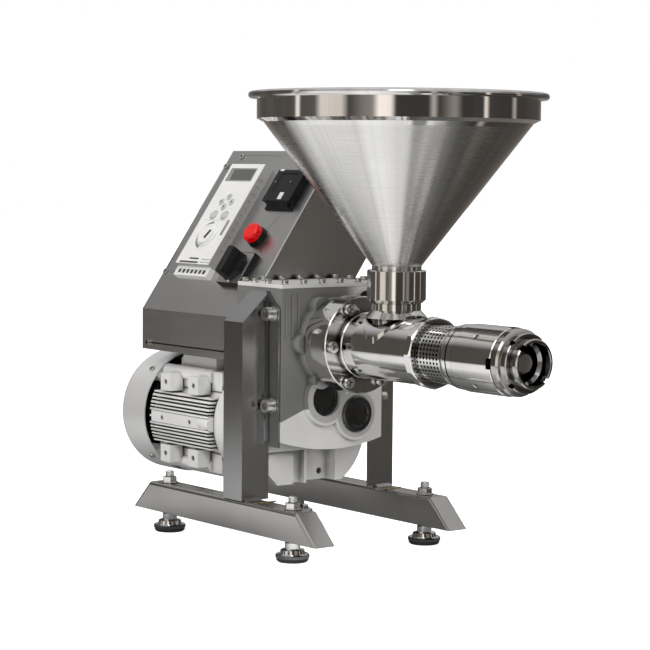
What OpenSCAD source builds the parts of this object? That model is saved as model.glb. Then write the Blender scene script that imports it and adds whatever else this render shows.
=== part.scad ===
// Bench oil press: a geared motor turns a press screw in a slim barrel.
// The frame stands on four levelling feet, the operator's panel faces -X,
// and the barrel points along -Y. Units are millimetres. X = 0 is the
// middle of the frame, Y = 0 is the front face of the gearbox, Z = 0 is the floor.

/* [Base frame] */
// Width over both rails
frame_w = 234; // [226:1:250]
// Width of one folded rail
rail_w = 31; // [29:1:34]
// Height of a rail
rail_h = 36; // [32:1:40]
// Length of a rail along its lower edges
rail_l = 380; // [360:1:420]
// How far each sloped rail end runs in by the top
rail_slope = 37; // [24:1:42]
// Middle of the rails, behind the gearbox face
rail_mid = 71; // [66:1:78]
// Sheet of the rails and posts
sheet_t = 3; // [2:0.5:4]
// Depth of a post, front to back
post_d = 38; // [32:1:44]
// How far a post's front wall stands behind the gearbox face
post_back = 24.5; // [23.5:0.5:28]

/* [Levelling feet] */
// Distance between the front and rear feet
foot_span = 256; // [236:1:264]
// Diameter of a foot
foot_d = 40; // [36:1:46]
// Height of the rails' underside above the floor
foot_lift = 25; // [24:0.5:30]
// Diameter of the threaded studs
stud_d = 10; // [8:1:12]

/* [Gearbox] */
// Width of the gearbox
gear_w = 155; // [152:1:160]
// Depth of the gearbox
gear_d = 90; // [88:1:96]
// Height of the gearbox's top joint above the floor
gear_top = 315; // [312:1:322]
// Lowest point of the gearbox's curved belly above the floor
belly_z = 118; // [115:0.5:120]
// Wall of the gearbox casting
gear_wall = 8; // [6:0.5:9]
// Thickness of the gearbox cover
cover_t = 5; // [4:0.5:8]

/* [Drive line] */
// Height of the barrel axis above the floor
press_z = 249; // [247:0.5:251]
// Height of the motor axis above the floor
motor_z = 137; // [136:0.5:138]
// Width of the gears' teeth
gear_face = 15; // [12:0.5:16]

/* [Motor] */
// Outer diameter over the motor's fins
motor_d = 156; // [152:1:158]
// Outer diameter of the fan cowl
cowl_d = 160; // [158:1:164]
// Length of the finned motor frame
motor_l = 134; // [126:1:144]
// Length of the fan cowl
cowl_l = 52; // [48:1:64]
// Thickness of one cooling fin
fin_t = 2.6; // [2:0.1:3.5]
// Distance from fin to fin
fin_pitch = 9; // [8:0.1:11]

/* [Press barrel] */
// Outer diameter of the barrel
barrel_d = 77; // [75:0.5:79]
// Inner diameter of the barrel and cage
bore_d = 60; // [58:0.5:61]
// Diameter of the mounting flange
flange_d = 116; // [115:0.5:119]
// Front face of the mounting flange, ahead of the gearbox
flange_y = 58.5; // [56:0.5:62]
// Front end of the barrel, ahead of the gearbox
barrel_y = 180; // [176:0.5:186]
// Diameter of the feed neck
neck_d = 58; // [55:0.5:60]
// How far the feed neck stands ahead of the gearbox
neck_y = 118.5; // [116:0.5:122]
// Length of the ring nut
ring_l = 11; // [9:0.5:14]
// Diameter of the strainer cage
cage_d = 67; // [66:0.5:69]
// Length of the strainer cage ahead of its nut
cage_l = 41; // [38:1:46]
// Diameter of one strainer hole
cage_hole = 3; // [2.4:0.1:3.2]
// Number of strainer holes around the cage
cage_count = 32; // [28:1:34]
// Outer diameter of the press head
head_d = 77; // [75:0.5:80]
// Length of the press head
head_l = 64; // [60:1:70]
// Outer diameter of the outlet nozzle
nozzle_d = 56; // [54:0.5:58]
// Inner diameter of the outlet nozzle
nozzle_bore = 48; // [45:0.5:49]

/* [Press screw] */
// Gap between the screw's flights and the bore
flight_gap = 0.5; // [0.3:0.1:0.8]
// Distance from one screw turn to the next below the hopper
feed_pitch = 30; // [26:1:34]
// Distance from one screw turn to the next at the cage
press_pitch = 22; // [18:1:24]
// Radius of the screw's core below the hopper
core_feed = 15; // [14:0.5:17]
// Radius of the screw's core at the press head
core_press = 23; // [20:0.5:25]

/* [Hopper] */
// Diameter over the hopper's rim
rim_d = 348; // [330:1:350]
// Diameter of the upright band below the rim
band_d = 328; // [310:1:329]
// Height of the upright band
band_h = 27; // [20:1:34]
// Height of the rim above the floor
hopper_top = 546; // [536:1:556]
// Height of the collar that plugs on the neck
collar_h = 38; // [36:1:42]
// Diameter of the collar
collar_d = 69; // [67:0.5:74]
// Sheet of the hopper
hopper_t = 1.5; // [1:0.1:2]

/* [Control box] */
// Length of the box, front to back
box_l = 222; // [218:1:226]
// Height of the box's floor above the ground
box_low = 221; // [220.5:0.5:224]
// Height of the upright skirt below the panel
skirt_h = 52.5; // [48:0.5:58]
// How far the skirt stands to the left of the middle
skirt_x = 68.5; // [67:0.5:72]
// Length of the sloped panel
panel_l = 252; // [248:1:256]
// Lean of the panel from upright
panel_lean = 35; // [34:0.5:36]
// Depth of the box behind the panel
box_d = 119.5; // [112:0.5:122]
// Sheet of the control box
box_t = 2; // [1.5:0.1:2.5]

/* [Controls] */
// Width of the speed drive
drive_w = 73; // [70:1:76]
// Height of the speed drive's face
drive_h = 156; // [152:1:160]
// How far the drive stands out of the panel
drive_out = 15; // [13:0.5:20]
// Side of the rotary switch's plate
switch_w = 47; // [44:1:48]
// Diameter of the signal lamp's bezel
lamp_d = 29; // [26:0.5:31]
// Side of the black control module
module_w = 56; // [52:1:58]
// Travel of a drive key
key_travel = 0.8; // [0.5:0.1:1]

/* [Hidden] */
$fn = 64;

// Clearance of a shaft in its hole, and the gap beside a moving key
fit = 0.05;
key_gap = 0.3;

// Base frame
post_x = frame_w / 2;
rail_x = post_x - rail_w / 2;
rail_top = foot_lift + rail_h;
foot_places = [for (sx = [-1, 1], sy = [-1, 1]) [sx * rail_x, rail_mid + 1 + sy * foot_span / 2]];
fold_r = sheet_t + 1;

// Gearbox
gear_half = gear_w / 2;
cover_top = gear_top + cover_t;
belly_r = 260;
belly_at = [6, belly_z + belly_r];
bell_y = 27;
bell_r = 72;
foot_z = motor_z - 62;
knee_z = gear_top - 40;
post_bolt_y = 13.5;
post_bolt_z = [gear_top - 30, gear_top - 140];
flange_bolt_r = 50;

// Shaft centres of the gear train, in the X-Z plane
first_at = [34, motor_z + 22.5];
second_at = [-12, motor_z + 43];
input_at = [0, motor_z];
press_at = [0, press_z];
teeth_one = [17, 48];
teeth_two = [16, 51];
teeth_three = [17, 53];
rear_wall = gear_d - 10;
front_seat = 19;
stage_one_y = rear_wall - 2 - gear_face;
stage_two_y = stage_one_y - 3 - gear_face;
stage_three_y = 22;

// Motor stations along +Y
frame_y0 = gear_d + 60;
frame_y1 = frame_y0 + motor_l;
cowl_y0 = frame_y1 + 16;
cowl_y1 = cowl_y0 + cowl_l;
stator_r = 60;
core_r = 65;
rotor_r = 37;
shaft_r = 9.5;
seat_top = box_low - 5;

// Press stations along -Y
boss_l = 12.7;
carrier_step = 30;
carrier_seat = 40;
barrel_r = barrel_d / 2;
bore_r = bore_d / 2;
neck_r = neck_d / 2;
neck_top = press_z + 82;
throat_r = 24;
cage_y0 = barrel_y + ring_l;
cage_y1 = cage_y0 + cage_l;
head_y0 = cage_y1 + 25;
head_y1 = head_y0 + head_l;
lock_y0 = head_y1 + 0.3;
lock_y1 = lock_y0 + 20;
nozzle_y0 = head_y1 - 28;
nozzle_y1 = lock_y1 + 11;
nozzle_r = nozzle_d / 2;
screw_y0 = flange_y + 4;
screw_y1 = nozzle_y0 - 4;
screw_tip = nozzle_y1 - 15;

// Hopper stations
collar_low = neck_top - collar_h + 10;
collar_top = neck_top + 10;
cone_low = collar_top + 5;
band_top = hopper_top - 4;
cone_high = band_top - band_h;
lip_r = 4;

// Section of the control box, seen along +Y
function inset(pts, d) = [
  for (i = [0 : len(pts) - 1])
    let (
      before = pts[(i + len(pts) - 1) % len(pts)],
      here = pts[i],
      after = pts[(i + 1) % len(pts)],
      u = (here - before) / norm(here - before),
      v = (after - here) / norm(after - here),
      m = [u[1], -u[0]],
      n = [v[1], -v[0]]
    )
    here + d * (m + n) / (1 + m * n)
];
slope_up = [sin(panel_lean), cos(panel_lean)];
slope_in = [cos(panel_lean), -sin(panel_lean)];
box_front = gear_d + 2.5;
box_back = box_front + box_l;
box_p2 = [-skirt_x, box_low + skirt_h];
box_p3 = box_p2 + panel_l * slope_up;
box_p4 = box_p3 + box_d * slope_in;
box_p5 = [box_p4[0] - (box_p4[1] - box_low) * tan(panel_lean), box_low];
box_section = [[-skirt_x, box_low], box_p2, box_p3, box_p4, box_p5];

// Places of the controls: distance behind the box's front, then up the panel
drive_at = [145, 142];
switch_at = [58.5, 67];
lamp_at = [58.5, 117];
module_at = [49, 186];
dial_up = -34;
key_up_at = 18;
key_step = 8;
lens_r = lamp_d / 2 - 1.5;
panel_screw_at = [[6, 58], [6, 226], [box_l - 6, 58], [box_l - 6, 226], [29, panel_l - 10], [box_l - 29, panel_l - 10]];
skirt_screw_at = [[14, box_low + 9], [box_l - 14, box_low + 9]];

// Shapes that are used more than once

// A rod along -Y between two stations ahead of the gearbox face
module rod(r, y0, y1, at = press_at) {
  translate([at[0], -y0, at[1]]) rotate([90, 0, 0]) cylinder(r = r, h = y1 - y0);
}

// A profile of [radius, station] points turned about an axis along -Y
module turned(points, at = press_at) {
  translate([at[0], 0, at[1]]) rotate([90, 0, 0]) rotate_extrude() polygon(points);
}

// An outline in the X-Z plane made a plate between two distances behind the gearbox face
module plate(y0, y1) {
  translate([0, y1, 0]) rotate([90, 0, 0]) linear_extrude(y1 - y0) children();
}

// A socket head screw standing on z = 0, with its shank below
module socket_screw(d, head, high, shank) {
  difference() {
    union() {
      cylinder(d = head, h = high);
      translate([0, 0, -shank]) cylinder(d = d, h = shank + 0.5);
    }
    translate([0, 0, high * 0.4]) cylinder(d = d * 0.95, h = high, $fn = 6);
  }
}

// Children stand on the sloped panel: x to the front, y up the slope, z outward
module on_panel(place, out = 0) {
  translate([box_p2[0], box_front + place[0], box_p2[1]])
    rotate([90 - panel_lean, 0, -90])
      translate([0, place[1], out]) children();
}

// A square-cornered block with its middle at x = 0 and y = 0, standing on z = 0
module block(size) {
  translate([-size[0] / 2, -size[1] / 2, 0]) cube(size);
}

// Base frame

module rail_form() {
  intersection() {
    translate([-rail_w, -rail_l / 2, 0]) cube([2 * rail_w, rail_l, rail_h + 5]);
    rotate([90, 0, 0]) translate([0, rail_h, -rail_l]) linear_extrude(2 * rail_l)
      rotate(180) fold_outline(rail_w, 2 * rail_h);
    sloped_end();
    mirror([0, 1, 0]) sloped_end();
  }
}

// A strip that starts with two rounded corners
module fold_outline(w, l) {
  polygon(concat(
    [[w / 2, l]],
    [for (a = [0 : -22.5 : -90]) [w / 2 - fold_r + fold_r * cos(a), fold_r + fold_r * sin(a)]],
    [for (a = [-90 : -22.5 : -180]) [-w / 2 + fold_r + fold_r * cos(a), fold_r + fold_r * sin(a)]],
    [[-w / 2, l]]
  ));
}

// A long strip laid along the front slope, which rounds its folds
module sloped_end() {
  translate([0, -rail_l / 2, 0]) rotate([-atan2(rail_slope, rail_h), 0, 0])
    translate([0, 0, -rail_l]) linear_extrude(2 * rail_l) fold_outline(rail_w, 2 * rail_l);
}

module rail(side) {
  wall = sheet_t / cos(atan2(rail_slope, rail_h));
  inner_h = rail_h - sheet_t;
  half = rail_l / 2 - wall;
  run = rail_slope * inner_h / rail_h;
  color([0.74, 0.74, 0.73]) translate([side * rail_x, rail_mid, foot_lift]) difference() {
    rail_form();
    rotate([90, 0, 90]) translate([0, 0, -rail_w / 2 + sheet_t]) linear_extrude(rail_w - 2 * sheet_t)
      polygon([
        [-half - rail_slope / rail_h, -1], [half + rail_slope / rail_h, -1],
        [half - run, inner_h], [-half + run, inner_h]
      ]);
    for (sy = [-1, 1]) translate([0, 1 + sy * foot_span / 2, rail_h / 2])
      cylinder(d = stud_d + 2 * fit, h = rail_h);
  }
}

module left_rail() { rail(-1); }
module right_rail() { rail(1); }

// One folded post: outer wall, front wall with a slot beside the flange, sloped top and flange
module post() {
  low = belly_z + 7;
  weld = 4;
  color([0.55, 0.54, 0.52]) difference() {
    union() {
      translate([post_x - sheet_t, post_back, rail_top]) cube([sheet_t, post_d, knee_z - rail_top]);
      plate(post_back, post_back + sheet_t)
        polygon([[gear_half, rail_top], [post_x, rail_top], [post_x, knee_z], [gear_half, gear_top - 4]]);
      plate(post_back, post_back + post_d)
        polygon([
          [post_x, knee_z - 2 * sheet_t], [post_x, knee_z], [gear_half, gear_top - 4],
          [gear_half, gear_top - 4 - 1.4 * sheet_t], [post_x - sheet_t, knee_z - sheet_t]
        ]);
      translate([gear_half, 0, 0]) rotate([90, 0, 90]) linear_extrude(sheet_t)
        polygon([
          [post_back + sheet_t, low], [2, low], [2, gear_top - 23], [12, gear_top - 17],
          [post_back, gear_top - 4], [post_back + sheet_t, gear_top - 4]
        ]);
      translate([post_x - rail_w + fold_r, post_back, rail_top]) rotate([90, 0, 90])
        linear_extrude(rail_w - 2 * fold_r) polygon([[1, 0], [1, weld], [-weld, 0]]);
    }
    translate([gear_half + sheet_t, post_back - 1, low + 5]) cube([4, sheet_t + 2, gear_top - 20 - low]);
    for (z = post_bolt_z) translate([gear_half - 1, post_bolt_y, z])
      rotate([0, 90, 0]) cylinder(d = 10 + 2 * fit, h = sheet_t + 2);
  }
}

module right_post() { post(); }
module left_post() { mirror([1, 0, 0]) post(); }

module post_bolts() {
  color([0.8, 0.8, 0.8]) for (side = [0, 1], z = post_bolt_z) mirror([side, 0, 0])
    translate([gear_half + sheet_t, post_bolt_y, z]) rotate([0, 90, 0]) {
      cylinder(d = 19, h = 2);
      translate([0, 0, 2]) socket_screw(10, 16, 10, sheet_t + gear_wall);
    }
}

module foot_pads() {
  r = foot_d / 2;
  color([0.1, 0.1, 0.1]) for (p = foot_places) translate([p[0], p[1], 0])
    rotate_extrude() polygon([[0, 0], [r - 3, 0], [r - 1, 2], [r - 1, 4], [0, 4]]);
}

// Turned glide with its threaded stud
module foot_glides() {
  r = foot_d / 2;
  color([0.85, 0.85, 0.85]) for (p = foot_places) translate([p[0], p[1], 0]) {
    rotate_extrude() polygon([
      [0, 4], [r - 1, 4], [r, 5], [r, 8], [r - 1, 9], [r - 5, 9.5], [r - 6, 14],
      [stud_d / 2 + 4, 15.5], [stud_d / 2 + 4, 22], [0, 22]
    ]);
    translate([0, 0, 21]) cylinder(d = stud_d, h = rail_top - 21 + 15);
  }
}

module foot_nuts() {
  color([0.8, 0.8, 0.8]) for (p = foot_places) translate([p[0], p[1], 0]) difference() {
    union() {
      translate([0, 0, rail_top]) cylinder(d = stud_d * 2.1, h = 1.5);
      translate([0, 0, rail_top]) cylinder(d = stud_d * 1.9, h = 8, $fn = 6);
      translate([0, 0, rail_top - sheet_t - 8]) cylinder(d = stud_d * 1.9, h = 8, $fn = 6);
    }
    translate([0, 0, rail_top - 20]) cylinder(d = stud_d + 2 * fit, h = 40);
  }
}

// Gearbox

// Front outline of the gearbox, drawn in by a distance
module gear_outline(in) {
  intersection() {
    translate([-gear_half + in, belly_z - 5]) square([gear_w - 2 * in, gear_top - belly_z + 5]);
    translate(belly_at) circle(belly_r - in, $fn = 180);
  }
}

// Rear bell that carries the motor, cut flat at its foot
module bell_outline(in) {
  intersection() {
    translate(input_at) circle(bell_r - in, $fn = 96);
    translate([-bell_r, foot_z + in]) square(2 * bell_r);
  }
}

// Left end of the pockets beside the foot, the rib between them, and the pocket with the threaded hole
foot_x = -38;
rib_x = -21;
pocket_x = 27;
pocket_d = 18;

module gearbox_housing() {
  color([0.72, 0.72, 0.72]) difference() {
    union() {
      plate(0, gear_d) gear_outline(0);
      plate(bell_y, gear_d) {
        bell_outline(0);
        polygon([
          [-gear_half, belly_z + 15], [-gear_half, foot_z + 16], [-gear_half + 16, foot_z],
          [foot_x, foot_z], [foot_x, belly_z + 15]
        ]);
      }
      plate(-boss_l, 1) translate(press_at) {
        circle(54);
        for (k = [0 : 5]) rotate(60 * k) translate([flange_bolt_r, 0]) circle(12, $fn = 32);
      }
      plate(-5, 1) for (at = [first_at, second_at]) translate(at) circle(32);
      for (k = [0 : 2]) translate([-gear_half + 5 + 9 * k, -1.5, press_z + 8])
        cube([3, 2, gear_top - press_z - 14]);
      rod(11, -2, 3, [48, gear_top - 15]);
    }
    plate(gear_wall, rear_wall) {
      gear_outline(gear_wall);
      translate([-gear_half + gear_wall, gear_top - 10]) square([gear_w - 2 * gear_wall, 20]);
    }
    plate(bell_y + gear_wall, rear_wall) difference() {
      bell_outline(gear_wall);
      translate([foot_x - 8, foot_z - 1]) square([pocket_x + 14 - foot_x, belly_z + 6 - foot_z]);
    }
    translate([foot_x, bell_y - 1, foot_z - 1]) cube([rib_x - foot_x, 12, belly_z - 1 - foot_z]);
    translate([rib_x + 3, bell_y - 1, foot_z - 1]) cube([pocket_x - rib_x - 3, pocket_d + 1, belly_z - 1 - foot_z]);
    translate([-gear_half - 1, 0, 0]) rotate([90, 0, 90]) linear_extrude(foot_x + gear_half + 1)
      polygon([[bell_y - 1, foot_z + 32], [bell_y + 5, belly_z - 2], [bell_y - 1, belly_z - 2]]);
    for (at = [first_at, second_at]) rod(21, -front_seat, 6, at);
    rod(34, -gear_wall - 1, boss_l + 1);
    for (at = [first_at, second_at]) rod(17.5, -gear_d + 2, -rear_wall + 1, at);
    rod(23.5, -gear_d + 2, -rear_wall + 1);
    rod(22, -gear_d - 1, -rear_wall + 1, input_at);
    rod(6.5 + fit, -gear_wall - 1, 4, [48, gear_top - 15]);
    rod(4, -bell_y - pocket_d - 12, -bell_y - pocket_d + 1, [pocket_x - 11.5, foot_z + 10]);
    translate([0, 0, press_z]) for (k = [0 : 5]) rotate([0, 60 * k, 0])
      translate([flange_bolt_r, 7, 0]) rotate([90, 0, 0]) cylinder(r = 4 + fit, h = boss_l + 8);
    for (p = cover_screw_at) translate([p[0], p[1], gear_top - 12])
      cylinder(r = 2.5 + fit, h = 13, $fn = 32);
    for (side = [-1, 1], z = post_bolt_z) translate([side * gear_half, post_bolt_y, z])
      rotate([0, side * -90, 0]) translate([0, 0, -1]) cylinder(r = 5 + fit, h = gear_wall + 0.5);
  }
  color([0.72, 0.72, 0.72]) for (at = [first_at, second_at]) bearing_boss(at);
}

// Inside boss around a front bearing seat
module bearing_boss(at) {
  difference() {
    rod(25, -front_seat, -gear_wall + 0.5, at);
    rod(21, -front_seat - 1, -gear_wall + 2, at);
  }
}

cover_row = [-gear_half + 7.5, -gear_half * 0.54, -gear_half * 0.18];
cover_screw_at = concat(
  [for (x = cover_row, sx = [-1, 1], y = [gear_wall / 2, gear_d - 5]) [sx * x, y]],
  [for (y = [gear_d * 0.36, gear_d * 0.66], sx = [-1, 1]) [sx * (gear_half - gear_wall / 2), y]]
);

module gearbox_cover() {
  color([0.7, 0.7, 0.7]) difference() {
    translate([-gear_half, 0, gear_top]) cube([gear_w, gear_d, cover_t]);
    for (p = cover_screw_at) translate([p[0], p[1], gear_top - 1])
      cylinder(r = 2.5 + fit, h = cover_t + 2, $fn = 32);
  }
}

module cover_screws() {
  color([0.8, 0.8, 0.8]) for (p = cover_screw_at) translate([p[0], p[1], cover_top])
    socket_screw(5, 8.5, 5, cover_t + 9, $fn = 32);
}

module oil_plug() {
  color([0.06, 0.06, 0.06]) {
    rod(6.5, -6, 3, [48, gear_top - 15]);
    rod(9.5, 3, 6, [48, gear_top - 15]);
  }
}

// Rubber cap in the right port
module port_cap() {
  color([0.05, 0.05, 0.05]) turned([
    [0, -5], [21 - fit, -5], [21 - fit, 5], [22.5, 5], [22.5, 7], [20.5, 9],
    [16, 9], [15, 7.5], [0, 7.5]
  ], first_at);
}

// Recessed end plug in the left port
module port_plug() {
  color([0.4, 0.4, 0.4]) turned([
    [0, -5], [21 - fit, -5], [21 - fit, 0], [17, 0], [17, -2.5], [0, -2.5]
  ], second_at);
}

// A plain bearing ring between two distances behind the gearbox face
module ring_at(at, outer, inner, y0, y1) {
  difference() {
    rod(outer, -y1, -y0, at);
    rod(inner + fit, -y1 - 1, -y0 + 1, at);
  }
}

module gear_bearings() {
  color([0.6, 0.6, 0.62]) {
    for (at = [first_at, second_at]) {
      ring_at(at, 21 - fit, 10, 7, front_seat);
      ring_at(at, 17.5 - fit, 8, rear_wall, gear_d - 2);
    }
    ring_at(press_at, 34 - fit, 20, -boss_l + 2, gear_wall);
    ring_at(press_at, 23.5 - fit, 15, rear_wall, gear_d - 2);
  }
}

// Gear train

// A spur gear between two distances behind the gearbox face
module spur(at, count, pitch_r, y0, y1, turn = 0) {
  m = 2 * pitch_r / count;
  root = pitch_r - 1.25 * m;
  tip = pitch_r + 0.92 * m;
  step = 360 / count;
  plate(y0, y1) translate(at) rotate(turn) union() {
    circle(root + 0.05 * m, $fn = max(48, count));
    for (k = [0 : count - 1]) rotate(k * step)
      polygon([
        [root * 0.97, -0.62 * m], [root * 1.01, -0.98 * m], [pitch_r, -0.74 * m], [tip, -0.36 * m],
        [tip, 0.36 * m], [pitch_r, 0.74 * m], [root * 1.01, 0.98 * m], [root * 0.97, 0.62 * m]
      ]);
  }
}

// Pitch radius of the first or second gear of a pair at a centre distance
function pitch_r(a, b, teeth, which) = norm(b - a) * teeth[which] / (teeth[0] + teeth[1]);

// Turn that puts a gear's tooth on the line to its partner, or a gap for odd = 0.5
function mesh_turn(a, b, count, odd) = atan2(b[1] - a[1], b[0] - a[0]) + odd * 360 / count;

// One intermediate shaft with its wheel and its pinion
module gear_shaft(at, before, after, teeth_in, teeth_out, wheel_y, pinion_y) {
  union() {
    spur(at, teeth_in[1], pitch_r(before, at, teeth_in, 1), wheel_y, wheel_y + gear_face,
      mesh_turn(at, before, teeth_in[1], 0.5));
    spur(at, teeth_out[0], pitch_r(at, after, teeth_out, 0), pinion_y, pinion_y + gear_face + 2,
      mesh_turn(at, after, teeth_out[0], 0));
    rod(8, -gear_d + 3, -8, at);
    rod(10, -stage_three_y - 1, -8, at);
  }
}

module first_gear_shaft() {
  color([0.66, 0.66, 0.68])
    gear_shaft(first_at, input_at, second_at, teeth_one, teeth_two, stage_one_y, stage_two_y - 1);
}

module second_gear_shaft() {
  color([0.64, 0.64, 0.66])
    gear_shaft(second_at, first_at, press_at, teeth_two, teeth_three, stage_two_y, stage_three_y - 1);
}

module output_shaft() {
  color([0.66, 0.66, 0.68]) difference() {
    union() {
      spur(press_at, teeth_three[1], pitch_r(second_at, press_at, teeth_three, 1),
        stage_three_y, stage_three_y + gear_face, mesh_turn(press_at, second_at, teeth_three[1], 0.5));
      rod(20, -stage_three_y - 1, boss_l - 0.5);
      rod(18, -rear_wall + 2, -stage_three_y);
      rod(15, -gear_d + 3, -rear_wall + 4);
    }
    rod(12 + fit, -30, boss_l + 1, press_at, $fn = 6);
  }
}

// Motor

module motor_shield() {
  ribs = 8;
  color([0.78, 0.78, 0.78]) difference() {
    union() {
      turned([
        [shaft_r + 8, -gear_d], [bell_r, -gear_d], [bell_r, -gear_d - 9], [58, -gear_d - 13],
        [56, -frame_y0 + 24], [core_r + 3, -frame_y0 + 9], [core_r + 5, -frame_y0], [shaft_r + 8, -frame_y0]
      ], input_at);
      rod(22 - fit, -gear_d - 1, -rear_wall - 2, input_at);
      for (k = [0 : ribs - 1]) translate([0, gear_d + 6, motor_z]) rotate([0, (k + 0.5) * 360 / ribs, 0])
        translate([0, 0, -2.5]) cube([core_r + 2, frame_y0 - gear_d - 8, 5]);
    }
    rod(shaft_r + 1.5, -frame_y0 - 1, -rear_wall, input_at);
    turned([[0, -gear_d - 22], [48, -gear_d - 22], [52, -frame_y0 - 1], [0, -frame_y0 - 1]], input_at);
    rod(18, -gear_d - 23, -gear_d - 8, input_at);
  }
}

// Frame with level fins at its sides, upright fins above and below, and four foot pads
module motor_frame() {
  r = motor_d / 2;
  fins = floor(34 / fin_pitch);
  y0 = frame_y0;
  l = frame_y1 - frame_y0;
  pad = 22;
  color([0.82, 0.82, 0.82]) difference() {
    union() {
      rod(core_r, -frame_y1, -y0, input_at);
      intersection() {
        rod(r, -frame_y1 - 1, -y0 + 1, input_at);
        union() {
          for (k = [-fins : fins]) translate([-r, y0 + 2, motor_z + k * fin_pitch - fin_t / 2])
            cube([2 * r, l - 4, fin_t]);
          for (k = [-fins : fins]) translate([k * fin_pitch - fin_t / 2, y0 + 2, motor_z - r])
            cube([fin_t, l - 4, 2 * r]);
        }
      }
      for (sx = [-1, 1], sz = [-1, 1], y = [y0 + 26, y0 + 88]) {
        translate([sx * (r - 12) - 9.5, y, motor_z + sz * 46 - pad / 2]) cube([19, pad, pad]);
      }
      for (sx = [-1, 1], sz = [-1, 1]) {
        bar = [input_at[0] + sx * 50, motor_z + sz * 57];
        rod(9, -y0 - l + 4, -y0 - 24, bar);
        translate([sx * 43 - 11, y0 + 4, motor_z + sz * 52 - 12]) cube([22, l - 8, 24]);
      }
      for (sx = [-1, 1]) {
        translate([sx * (r - 8) - 8, y0 + 6, motor_z - 7]) cube([16, l - 12, 14]);
        translate([sx * (r - 7), y0 + 21, motor_z]) rotate([90, 0, 0]) cylinder(r = 9, h = 20.7);
      }
      translate([-42, y0 + 34, motor_z + 50]) cube([84, 74, seat_top - motor_z - 50]);
    }
    rod(stator_r, -frame_y1 - 1, -y0 + 1, input_at);
    for (sx = [-1, 1], sz = [-1, 1], y = [y0 + 26, y0 + 88])
      translate([sx * (r + 2), y + pad / 2, motor_z + sz * 46]) rotate([0, sx * -90, 0])
        cylinder(r = 3.4, h = 16, $fn = 32);
    for (sx = [-1, 1], y = [y0 + 42, y0 + 104])
      translate([sx * (r + 2), y, motor_z - 0.5]) rotate([0, sx * -90, 0]) cylinder(r = 3, h = 12, $fn = 32);
  }
}

module motor_stator() {
  color([0.35, 0.2, 0.12]) difference() {
    rod(stator_r - fit, -frame_y1 + 16, -frame_y0 - 16, input_at);
    rod(rotor_r + 0.5, -frame_y1, -frame_y0, input_at);
  }
}

// Rotor, its shaft and the first pinion cut on the shaft's end
module motor_rotor() {
  r = pitch_r(input_at, first_at, teeth_one, 0);
  color([0.55, 0.55, 0.57]) union() {
    spur(input_at, teeth_one[0], r, stage_one_y - 1, stage_one_y + gear_face + 1,
      mesh_turn(input_at, first_at, teeth_one[0], 0));
    rod(shaft_r - 0.5, -gear_d - 1, -stage_one_y - gear_face, input_at);
    rod(shaft_r, -cowl_y1 + 14, -gear_d + 2, input_at);
    rod(rotor_r, -frame_y1 + 20, -frame_y0 - 20, input_at);
  }
}

module motor_bearings() {
  color([0.7, 0.7, 0.72]) {
    ring_at(input_at, 18 - fit, shaft_r, gear_d + 8, gear_d + 22);
    ring_at(input_at, 18 - fit, shaft_r, frame_y1, frame_y1 + 12);
  }
}

// Rear shield with the seat of the rear bearing
module motor_rear_shield() {
  color([0.75, 0.75, 0.75]) difference() {
    union() {
      rod(core_r - 1, -frame_y1 - 5, -frame_y1, input_at);
      rod(core_r - 7, -cowl_y0, -frame_y1 - 4, input_at);
      intersection() {
        rod(cowl_d / 2 - 1.5 - fit, -cowl_y0 - 16, -cowl_y0 + 7, input_at);
        for (k = [0 : 3]) translate([0, 0, motor_z]) rotate([0, 45 + 90 * k, 0]) {
          translate([core_r - 15, cowl_y0 - 7, -7]) cube([cowl_d / 2 - core_r + 16, 7, 14]);
          translate([core_r + 1, cowl_y0 - 1, -7]) cube([cowl_d / 2 - core_r, 17, 14]);
        }
      }
      rod(stator_r - fit, -frame_y1 - 1, -frame_y1 + 8, input_at);
    }
    for (k = [0 : 3]) translate([0, cowl_y0 + 8, motor_z]) rotate([0, 45 + 90 * k, 0])
      rotate([0, 90, 0]) translate([0, 0, core_r + 6]) cylinder(r = 2 + fit, h = 10, $fn = 32);
    rod(shaft_r + 1, -cowl_y0 - 1, -frame_y1 + 9, input_at);
    rod(18, -frame_y1 - 12, -frame_y1 + 9, input_at);
    turned([[26, -frame_y1 + 9], [54, -frame_y1 + 9], [54, -frame_y1 - 8], [26, -frame_y1 - 8]], input_at);
  }
}

module cooling_fan() {
  blades = 7;
  y = cowl_y0 + 5;
  color([0.12, 0.12, 0.12]) difference() {
    union() {
      rod(18, -y - 24, -y, input_at);
      rod(54, -y - 3, -y, input_at);
      for (k = [0 : blades - 1]) translate([0, y, motor_z]) rotate([0, k * 360 / blades, 0])
        translate([15, 0, -1.2]) cube([47, 22, 2.4]);
    }
    rod(shaft_r + fit, -y - 30, -y + 1, input_at);
  }
}

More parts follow.
